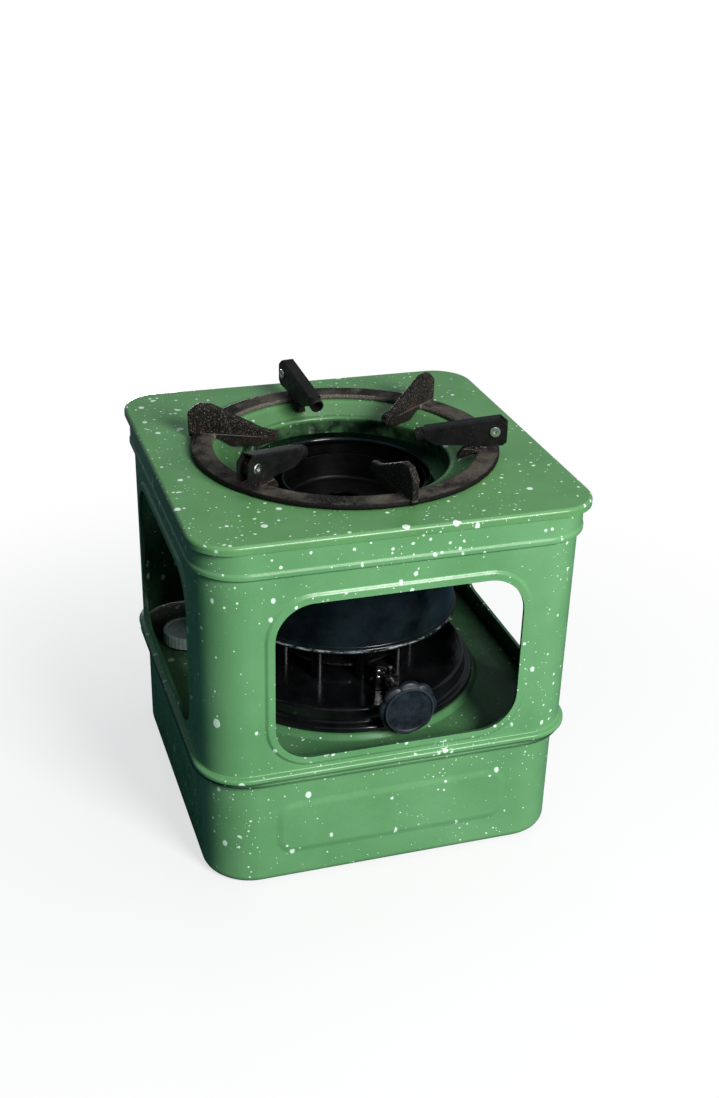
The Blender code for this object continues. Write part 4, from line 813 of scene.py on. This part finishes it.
def make_casing():
    low, shoulder = COVER_TOP + GAP, 0.219
    foot_top, collar = low + 0.0036, CASING_HALF + 0.0025
    bead = collar + 0.0007
    outside = fillet((
        (CASING_HALF - SHEET, low), (SEAM_HALF, low, 0.0015), (SEAM_HALF, foot_top, 0.0015),
        (CASING_HALF, foot_top + 0.0007, 0.0008), (CASING_HALF, shoulder, 0.001), (bead, 0.2208, 0.0013),
        (bead, 0.2232, 0.0013), (collar, 0.225, 0.002), (collar, CASING_TOP),
    ))
    inside = fillet((
        (CASING_HALF, foot_top), (CASING_HALF, shoulder, 0.0022),
        (collar, 0.2222, 0.0022), (collar, CASING_TOP),
    ))
    section = outside + offset(inside, -SHEET)[:0:-1]
    shape = swept_square(section, CASING_HALF, CASING_CORNER, loop=True)
    half, bottom, top, corner = window = (0.0783, 0.0936, 0.2005, 0.024)
    rim = 0.0066
    field = (half + rim, bottom - rim, top + rim, corner + rim)
    # Windows in the front and both sides. The back wall is closed.
    for quarter in (0, 1, 3):
        shape = pressed(shape, quarter, field, CASING_HALF, 0.0013, 0.0028)
    reach = CASING_HALF + CUT
    for quarter, end in ((0, 0), (1, reach)):
        cutter = prism(rounded_rectangle(*window), -reach, end, frontal)
        shape = without(shape, moved(cutter, side_turn(quarter)))

    def painted_shade_face(face):
        # Faces that get the painted shade: the inside of the wall, and the cut edges of the windows.
        x, y, z = face.calc_center_median()
        outward = Vector((copysign(1, x), 0, 0) if abs(x) > abs(y) else (0, copysign(1, y), 0))
        facing, near = face.normal.dot(outward), 0.0004
        edge = abs(facing) < 0.2 and min(abs(x), abs(y)) < half + near and bottom - near < z < top + near
        return facing < -0.4 or edge

    piece("casing", "enamelled", shape, CASING_LOOK, "tank", inner=painted_shade_face)


def make_top_plate():
    lip = fillet((
        (PLATE_HALF, PLATE_TOP - 0.0052), (PLATE_HALF, PLATE_TOP, 0.0024), (CASING_HALF - 0.002, PLATE_TOP)
    ), 7)
    ledge = PLATE_TOP - 0.0061
    dish = fillet((
        (0.09, PLATE_TOP), (0.0835, PLATE_TOP, 0.008), (0.0705, ledge, 0.005),
        (MOUTH_RADIUS, ledge, 0.0016), (MOUTH_RADIUS, 0.2262),
    ), 7)
    shape = square_to_round(lip, dish, PLATE_HALF, PLATE_CORNER)
    piece("top_plate", "enamelled", shape, PLATE_LOOK, "top_plate")


# ---- burner

TUBE_TURNS = [-pi / 2 + 2 * pi * index / TUBE_COUNT for index in range(TUBE_COUNT)]


def tube_holes(low, high):
    spots = [polar(TUBE_CIRCLE, turn) for turn in TUBE_TURNS]
    return [rod(TUBE_RADIUS + GAP, (*spot, low), (*spot, high)) for spot in spots]


def make_base():
    low, below, above = SEAT_TOP + GAP, BASE_TOP - CUT, BASE_TOP + CUT
    step = low + 0.0038
    path = fillet((
        (0.0908, low), (0.0908, step, 0.0019), (0.0852, step, 0.0019),
        (0.0852, BASE_TOP, 0.0022), (0.06, BASE_TOP),
    ), 6)
    section = [(0, BASE_TOP), *reversed(path), *offset(path, -SHEET), (0, BASE_TOP - SHEET)]
    slot = prism(((0.0028, below), (0.01, below), (0.01, above), (0.0028, above)), -0.0671, -0.0595, frontal)
    shape = without(lathe(section), joined([*tube_holes(below, above), slot]))
    piece("burner_base", "enamelled", shape, BURNER_LOOK, "tank")


def make_head():
    low, high, inner, outer = 0.1362, 0.143, 0.0376, 0.0545
    path = fillet(((outer, high), (outer, low, 0.0012), (inner, low, 0.0012), (inner, high)))
    shape = without(lathe(sheet(path, SHEET)), joined(tube_holes(low - CUT, low + 0.0022)))
    piece("burner_head", "enamelled", shape, BURNER_LOOK, "tank")


def make_tubes():
    # Each tube has a slot that faces the stove's axis, where its wick's finger runs.
    steps, opening, wall = 30, radians(19), 0.0005
    low, slot_low, slot_high, high = 0.09, 0.1035, 0.1235, 0.1412
    start, rest = pi + opening, 2 * pi - 2 * opening
    angles = [pi - opening, *(start + rest * step / (steps - 1) for step in range(steps - 1))]
    shape = bmesh.new()
    layers = []
    for z in (low, slot_low, slot_high, high - 0.0006, high):
        sides = (TUBE_RADIUS, TUBE_RADIUS - wall)
        layers.append([[shape.verts.new(polar(radius, angle, z)) for angle in angles] for radius in sides])
    for level, (lower, upper) in enumerate(zip(layers, layers[1:])):
        for side in range(2):
            band(shape, lower[side], upper[side], int(level == 1))
    for end in (0, -1):
        band(shape, *layers[end])
    for outer, inner in layers[1:3]:
        shape.faces.new((outer[0], outer[1], inner[1], inner[0]))
    for step in (0, 1):
        lower, upper = layers[1], layers[2]
        shape.faces.new((lower[0][step], upper[0][step], upper[1][step], lower[1][step]))
    first = TUBE_TURNS[0]
    moved(shape, Matrix.Translation(polar(TUBE_CIRCLE, first, 0)) @ turned(first))
    drawn = piece("wick_tube_01", "wick_tube_drawn_01", shape, TUBE_LOOK, "tank")
    for number, turn in enumerate(TUBE_TURNS[1:], 2):
        made = linked("wick_tube_drawn_%02d" % number, drawn.data)
        made.matrix_world = turned(turn - first)
        soften(made, 0)
        dressed(made, "tank", "wick_tube_%02d" % number)


def make_wicks():
    # Braided cotton: two families of yarn wind round each wick, and its burnt end is uneven.
    around, along = 36, 260
    low, high, radius = 0.0045, 0.1395, 0.0034
    rings = []
    for level in range(along + 1):
        z = low + (high - low) * level / along
        ring = []
        for angle in (2 * pi * step / around for step in range(around)):
            yarn = max(abs(sin(3 * angle + 750 * z)), abs(sin(3 * angle - 750 * z)))
            reach = radius * (0.945 + 0.055 * yarn) * (0.86 if level in (0, along) else 1)
            lift = 0.0005 * noise.noise(polar(9, angle, 0.0)) if level == along else 0.0
            ring.append(polar(reach, angle, z + lift))
        rings.append(ring)
    shape = skin(rings, caps=True)
    bmesh.ops.recalc_face_normals(shape, faces=shape.faces)
    mesh = mesh_of("wick_braided_01", shape)
    mesh.shade_smooth()
    mesh.materials.append(COTTON_LOOK)
    for number, turn in enumerate(TUBE_TURNS, 1):
        made = linked("wick_braided_%02d" % number, mesh)
        made.matrix_world = turned(turn) @ Matrix.Translation((TUBE_CIRCLE, 0, 0))
        dressed(made, "wick_carrier", "wick_%02d" % number)


def make_drive():
    shaft = rod(0.0025, (SHAFT_X, -0.1025, SHAFT_Z), (SHAFT_X, -0.0536, SHAFT_Z), SMALL_STEPS, 0.0004)
    piece("knob_shaft", "turned", shaft, ZINC_LOOK, "knob")
    for number, z in ((1, 0.1082), (2, 0.113)):
        rivet = headed_rivet(0.0008, 0.0014, 0.0006, (0.0051, -0.0667, z), (0.0051, -0.0582, z))
        name = "rack_rivet_%d" % number
        piece(name, "domed", rivet, BRIGHT_LOOK, "wick_carrier")
    low, high, long, wide = SHAFT_Z + 0.0028, SHAFT_Z + 0.0069, 0.0016, 0.0002
    screw = rod(0.0014, (SHAFT_X, SCREW_Y, low), (SHAFT_X, SCREW_Y, high), PIN_STEPS, 0.0002)
    slit = prism(
        ((-long, -wide), (long, -wide), (long, wide), (-long, wide)), high - 0.0007, high + 0.0007,
        lambda u, v, w: (SHAFT_X + u, SCREW_Y + v, w),
    )
    screw = without(screw, slit)
    piece("knob_set_screw", "slotted", screw, BRIGHT_LOOK, "knob")


def make_knob():
    lobes, bore, hub, back = 8, 2.8, 6.6, 16.6
    # Radius, share of the lobes and depth behind the face, from the bore round to the face,
    # in millimetres.
    profile = (
        (bore, 0, 3.4), (bore, 0, back), (6.2, 0, back), (hub, 0, 16.2), (hub, 0, 10.4), (7.4, 0, 9.9),
        (12.5, 0, 9), (16, 0.5, 8), (17.8, 1, 6.8), (18.4, 1, 6), (18.5, 1, 4.8), (18.4, 1, 3.8),
        (18, 1, 3.1), (17.4, 1, 2.7), (16.4, 0.5, 2.3), (15.7, 0, 1.8), (15.7, 0, 1.3), (16.1, 0, 0.8),
        (16.2, 0, 0.4), (16, 0, 0.1), (15.6, 0, 0), (14.9, 0, 0.1), (14.5, 0, 0.6), (14, 0, 0.9),
        (6, 0, 1),
    )
    rings = []
    count = lobes * 20
    for radius, lobe, depth in profile:
        ring = []
        for angle in (2 * pi * step / count for step in range(count)):
            # Broad rounded lobes with narrow valleys between them.
            wave = abs(cos(lobes * angle / 2)) ** 0.7 * 2 - 1
            x, z = polar((radius + 0.8 * lobe * wave) / 1000, angle)
            ring.append((SHAFT_X + x, KNOB_FACE + depth / 1000, SHAFT_Z + z))
        rings.append(ring)
    drill = rod(0.0017, (SHAFT_X, SCREW_Y, SHAFT_Z), (SHAFT_X, SCREW_Y, SHAFT_Z + 0.0106), PIN_STEPS)
    shape = without(skin(rings, caps=True), drill)
    piece("knob", "moulded", shape, KNOB_LOOK, "knob")


# ---- drum and sleeves

def perforated(radius, low, high, rows, columns):
    # A sheet tube with staggered round holes, closed near its ends and its cross pins. Each
    # cell's rim has eight points, at its corners and the middles of its sides, which the
    # staggered rows share.
    shape = bmesh.new()
    hole, wall = 0.0013, 0.75 * SHEET
    turn, rise = pi / columns, (high - low) / rows / 2
    grid = {}

    def vert(side, u, v):
        # u in half cells round the tube, v in half cells up it.
        return shape.verts.new(polar(radius - wall * side, u * turn, low + v * rise))

    def shared(side, u, v):
        key = (side, u % (columns * 2), v)
        if key not in grid:
            grid[key] = vert(*key)
        return grid[key]

    spots = ((-1, -1), (0, -1), (1, -1), (1, 0), (1, 1), (0, 1), (-1, 1), (-1, 0))
    for row in range(rows):
        v = row * 2 + 1
        middle = low + v * rise
        is_open = 0.142 < middle < 0.208 and abs(middle - PIN_Z) > 0.0045
        for column in range(columns):
            u = column * 2 + row % 2 + 1
            rings = []
            for side in range(2):
                rim = [shared(side, u + du, v + dv) for du, dv in spots]
                if is_open:
                    ring = []
                    for k in range(8):
                        across, up = polar(hole, radians(225 + 45 * k))
                        ring.append(vert(side, u + across / radius / turn, v + up / rise))
                    band(shape, rim, ring)
                    rings.append(ring)
                else:
                    centre = vert(side, u, v)
                    for k in range(8):
                        shape.faces.new((rim[k], rim[(k + 1) % 8], centre))
            if is_open:
                band(shape, *rings)
    for v in (0, rows * 2):
        band(shape, *([shared(side, u, v) for u in range(columns * 2)] for side in range(2)))
    return shape


def make_drum():
    wall, low, high, mouth = 0.075, DRUM_LOW, 0.227, 0.056
    path = fillet((
        (wall + 0.0004, low), (wall + 0.002, low + 0.0003, 0.0012), (wall + 0.002, low + 0.0038, 0.0012),
        (wall, low + 0.0042, 0.001), (wall, 0.196, 0.014), (mouth, high - 0.0035, 0.0016),
        (mouth - 0.0012, high - 0.0012, 0.001), (mouth - 0.0004, high),
    ), 7)
    shape = lathe(sheet(path, -SHEET), 128)
    piece("drum", "enamelled", shape, DRUM_LOOK, "drum")

    low, outer, inner, top = 0.1373, 0.0529, 0.0398, 0.222
    shape = perforated(outer, low, 0.2235, 20, 60)
    piece("outer_sleeve", "perforated", shape, SOOTY_LOOK, "drum")
    roll = fillet((
        (inner - 0.0006, top - 0.0026), (inner, top - 0.0026, 0.0004), (inner + 0.001, top - 0.0016, 0.0008),
        (inner + 0.001, top - 0.0002, 0.0007), (inner - 0.0006, top),
    ))
    shape = joined((perforated(inner, low, top - 0.0026, 19, 46), lathe(roll, 92)))
    piece("inner_sleeve", "perforated", shape, SOOTY_LOOK, "drum")

    # The flame cap is a bowl with a raised lip round the hole in its floor.
    floor, bowl = 0.2045, 0.0388
    path = fillet(((bowl, floor + 0.0075), (bowl, floor, 0.003), (0.0125, floor)))[:-1]
    path += [Vector(at) for at in ((0.016, floor), (0.014, floor + 0.0006), (0.0125, floor + 0.001))]
    piece("flame_cap", "dished", lathe(sheet(path, SHEET)), SOOTY_LOOK, "drum")
    for index in range(3):
        place = radial(radians(30) + index * THIRD)
        pin = rod(0.0015, place(0.0368, PIN_Z, 0), place(0.0734, PIN_Z, 0), PIN_STEPS, 0.0003)
        name = "cross_pin_%d" % (index + 1)
        piece(name, "turned", pin, BRIGHT_LOOK, "drum")


# ---- trivet and its supports

def web_height(radius):
    share = (radius - WEB_INNER) / (WEB_OUTER - WEB_INNER)
    return WEB_INNER_TOP + share * (WEB_TOP - WEB_INNER_TOP)


def trivet_outlines():
    foot, root, edge = RING_LOW + 0.0006, ((0.0765, 0.2417), (0.0815, RING_LOW + 0.0006)), 0.0013
    fin = fillet((
        *root, (RING_OUTER - 0.0006, foot), (0.1012, RING_LOW + 0.0012), (0.1018, 0.2612, 0.0031),
        (0.095, 0.2674, 0.0016), (0.0865, 0.2674, 0.0062), (0.054, 0.253, 0.0062), (0.0435, 0.2515, 0.0012),
        (0.0435, 0.245), (0.056, 0.2406, 0.0031), (0.0725, 0.2394),
    ))
    lug = [
        (0.0716, 0.2402), *root, (0.0905, foot), (0.0905, RING_LOW + 0.0062),
        *arc((PIVOT_RADIUS, PIVOT_Z), 0.0052, -115, 110, 16),
        *((radius, web_height(radius) - edge) for radius in (0.088, 0.0775)),
        (0.0775, 0.25), (0.074, 0.2462), (0.0716, 0.2424),
    ]
    return fin, lug


def pivot_drill(radius, place, steps):
    return rod(radius, *(place(PIVOT_RADIUS, PIVOT_Z, side) for side in (-0.008, 0.008)), steps)


def make_trivet():
    # One rough casting: its solids are melted together, smoothed, and given a sandy skin.
    ring = ((RING_INNER, RING_LOW), (RING_OUTER, RING_LOW), (RING_OUTER, RING_TOP), (RING_INNER, RING_TOP))
    whole = lathe(ring, 144)
    fin, lug = trivet_outlines()
    arms = [radial(SUPPORT_START + index * THIRD) for index in range(3)]
    for index, arm in enumerate(arms):
        whole = fused(whole, prism(fin, -0.0023, 0.0023, radial(FIN_START + index * THIRD)))
        whole = fused(whole, prism(lug, -0.0029, 0.0029, arm))
    for arm in arms:
        whole = without(whole, pivot_drill(0.00225, arm, PIN_STEPS))
    made = bare_object(whole)
    melt = made.modifiers.new("melt", "REMESH")
    melt.mode = "VOXEL"
    melt.voxel_size = 0.00075
    shape = worked(made)
    axes = {"use_axis_" + axis: True for axis in "xyz"}
    for _ in range(3):
        bmesh.ops.smooth_vert(shape, verts=shape.verts, factor=0.5, **axes)
    shape.normal_update()
    pivots = [Vector(arm(PIVOT_RADIUS, PIVOT_Z, 0)) for arm in arms]
    for vert in shape.verts:
        calm = 0.25 if min((vert.co - pivot).length for pivot in pivots) < 0.013 else 1.0
        coarse, fine = noise.fractal(vert.co * 130, 1.0, 2.0, 3), noise.noise(vert.co * 900)
        vert.co += vert.normal * (0.00013 * coarse + 0.00006 * fine) * calm
    floor = RING_LOW - 0.0001
    for vert in shape.verts:
        if vert.co.z < floor and vert.co.xy.length > 0.0835:
            vert.co.z = floor
    piece("trivet", "cast", shape, IRON_LOOK, "trivet", radians(60), weighted=False)


def make_support(name, angle):
    # A channel folded from sheet: two walls and a web on top, open below and at both ends.
    # The web ends over the pivot, and the walls go on past it.
    half, thick, low = 0.0045, 0.001, 0.2493
    end = PIVOT_RADIUS + 0.0076
    wall = fillet((
        (0.065, 0.2502), (PIVOT_RADIUS - 0.0086, PIVOT_Z - 0.01, 0.003),
        (PIVOT_RADIUS + 0.005, PIVOT_Z - 0.0089, 0.0012), (end, PIVOT_Z - 0.0066, 0.0012),
        (end, PIVOT_Z + 0.0046, 0.0018), (WEB_OUTER, WEB_TOP), (WEB_INNER, WEB_INNER_TOP),
        (WEB_INNER, low, 0.004), (0.065, 0.2502),
    ))[:-1]
    place = radial(angle)
    shape = prism(wall, -half, half, place)
    tips = [Vector(place(*tip, 0)) for tip in ((WEB_OUTER, WEB_TOP), (WEB_INNER, WEB_INNER_TOP))]
    folds = []
    for edge in shape.edges:
        ends = [v.co for v in edge.verts]
        on_web = all(min((e.xy - t.xy).length for t in tips) < half * 1.05 and e.z > 0.2575 for e in ends)
        if on_web and edge.calc_length() > 0.04:
            folds.append(edge)
    bmesh.ops.bevel(shape, geom=folds, offset=0.0014, segments=5, profile=0.5, affect="EDGES")
    slope = (WEB_TOP - WEB_INNER_TOP) / (WEB_OUTER - WEB_INNER)
    drop = thick * sqrt(1 + slope * slope)
    near, far, below, above = 0.03, 0.12, 0.23, 0.28
    under = (
        (near, below), (far, below), (far, above), (WEB_OUTER, above),
        (WEB_OUTER, WEB_TOP - drop), (near, web_height(near) - drop),
    )
    shape = without(shape, prism(under, thick - half, half - thick, place))
    shape = without(shape, pivot_drill(0.00185, place, SMALL_STEPS))
    # The last millimetres of the channel are rolled into a short tube.
    tip = Vector((WEB_INNER, WEB_INNER_TOP))
    ahead = (Vector((WEB_OUTER, WEB_TOP)) - tip).normalized()
    across = Vector((-ahead.y, ahead.x))

    def spot(along, up):
        return tuple(tip + along * ahead + up * across)

    trimmed = ((-0.01, -0.02), (0.024, -0.02), (0.006, -0.007), (0.006, 0.01), (-0.01, 0.01))
    shape = without(shape, prism([spot(*at) for at in trimmed], -0.02, 0.02, place))
    ends = [place(*spot(along, -half), 0) for along in (0, 0.0085, -0.002, 0.0105)]
    tube = without(rod(half, *ends[:2], SMALL_STEPS, 0.0004), rod(half - thick, *ends[2:]))
    node = "folding_support_" + name
    shape = joined((shape, tube))
    piece(node, "painted", shape, PAINT_LOOK, "support_" + name, bevel=0.00018)

    face, head, shank, bore = half + GAP, 0.0034, 0.00175, 0.0011
    section = [
        (0, -face + 0.0006), (bore, -face + 0.0006), (bore, -face - 0.0006), (bore + 0.0003, -face - 0.001),
        (head - 0.0004, -face - 0.001), (head, -face - 0.0005), (head, -face), (shank, -face),
    ]
    rivet = lathe([*section, *((r, -h) for r, h in reversed(section))], SMALL_STEPS)
    lay = Matrix.Translation(place(PIVOT_RADIUS, PIVOT_Z, 0)) @ turned(angle) @ turned(-pi / 2, "X")
    node = "support_rivet_" + name
    piece(node, "tubular", moved(rivet, lay), BRIGHT_LOOK, "trivet")


def dress_frame():
    # The drive's small steel parts are the frame's own solids.
    for name in ("shaft_bracket_front", "shaft_bracket_rear", "wick_carrier", "rack", "pinion"):
        made = nodes[name]
        made.data.materials.clear()
        made.data.materials.append(ZINC_LOOK)
        soften(made, 0.00015)


# ---- camera, floor and light

def make_camera():
    # Fitted to the photo. The numbers below the turns are its pixels.
    place = Vector((-0.2631, -0.8342, 0.6039))
    yaw, pitch, roll = 0.3195, -0.5075, 0.0272
    wide, tall, focal, middle, horizon = 719, 1098, 1464.9, 359.31, 618.49
    ahead = Vector((sin(yaw) * cos(pitch), cos(yaw) * cos(pitch), sin(pitch)))
    level = Vector((cos(yaw), -sin(yaw), 0))
    upward = level.cross(ahead)
    right = cos(roll) * level + sin(roll) * upward
    up = cos(roll) * upward - sin(roll) * level
    data = bpy.data.cameras.new("camera")
    data.sensor_width = 36
    data.lens = focal * 36 / tall
    data.shift_x, data.shift_y = (wide / 2 - middle) / tall, (horizon - tall / 2) / tall
    data.clip_start, data.clip_end = 0.01, 50
    camera = linked("camera", data)
    camera.matrix_world = Matrix.Translation(place) @ Matrix((right, up, -ahead)).transposed().to_4x4()
    bpy.context.scene.camera = camera


def background_rays(graph):
    # Rays that show the white background: the camera's in full, and those from shiny pieces in part.
    path = graph.node("LightPath").outputs
    glossy = graph.times(path["Is Glossy Ray"], 0.2)
    return path["Is Camera Ray"], graph.greater(glossy, path["Is Transmission Ray"])


def blended(graph, kind, share, first, second):
    mixed = graph.node("MixShader", {0: share, 1: first.outputs[0], 2: second.outputs[0]})
    graph.node("Output" + kind, {"Surface": mixed.outputs[0]})


def make_floor():
    shape = bmesh.new()
    shape.faces.new([shape.verts.new(at) for at in ((-9, -9, 0), (9, -9, 0), (9, 9, 0), (-9, 9, 0))])
    floor = linked("floor", mesh_of("floor", shape))
    floor.location.z = -0.0004
    graph = Graph(bpy.data.materials.new("pale floor"))
    graph.tree.nodes.clear()
    reach = graph.vector("LENGTH", graph.node("TexCoord").outputs["Object"])
    smooth = {"interpolation_type": "SMOOTHSTEP"}
    # The floor round the stove keeps its shading, and turns to plain white further out.
    camera, mirrored = background_rays(graph)
    seen = graph.times(camera, graph.remap(reach, 0.12, 0.55, 0.7, **smooth))
    also = graph.times(mirrored, graph.remap(reach, 0.45, 1.40, **smooth))
    tint = graph.mix(camera, (0.04, 0.09, 0.12), (0.88, 0.88, 0.88))
    matte, glow = graph.node("BsdfDiffuse", {"Color": tint}), graph.node("Emission")
    blended(graph, "Material", graph.greater(seen, also), matte, glow)
    floor.data.materials.append(graph.owner)


def make_light():
    for name, size, energy, place, colour in (
        ("key", 0.7, 62.0, (0.6, -1.77, 1.15), (1.0, 0.99, 0.97)),
        ("top", 1.0, 5.0, (0.3, 0.1, 1.6), (1, 1, 1)),
        ("back", 0.2, 18.0, (0.1, 1.90, 0.13), (1, 1, 1)),
    ):
        data = bpy.data.lights.new(name, "AREA")
        data.shape, data.size, data.energy, data.color = "SQUARE", size, energy, colour
        lamp = linked(name, data)
        lamp.location = place
        aim = Vector((0, 0, 0.13)) - Vector(place)
        lamp.rotation_euler = aim.to_track_quat("-Z", "Y").to_euler()
    bpy.context.scene.world = bpy.data.worlds.new("studio")
    graph = Graph(bpy.context.scene.world)
    graph.tree.nodes.clear()
    dim = graph.node("Background", {"Color": (0.42, 0.76, 1.0, 1), "Strength": 0.11})
    white = graph.node("Background", {"Color": (1, 1, 1, 1)})
    blended(graph, "World", graph.greater(*background_rays(graph)), dim, white)


make_camera()
make_tank()
make_filler()
make_casing()
make_top_plate()
make_base()
make_head()
make_tubes()
make_wicks()
make_drive()
make_knob()
make_drum()
make_trivet()
for number, where in enumerate(("back", "left", "right")):
    make_support(where, SUPPORT_START + number * THIRD)
dress_frame()
make_floor()
make_light()
bpy.context.scene.view_settings.view_transform = "Standard"
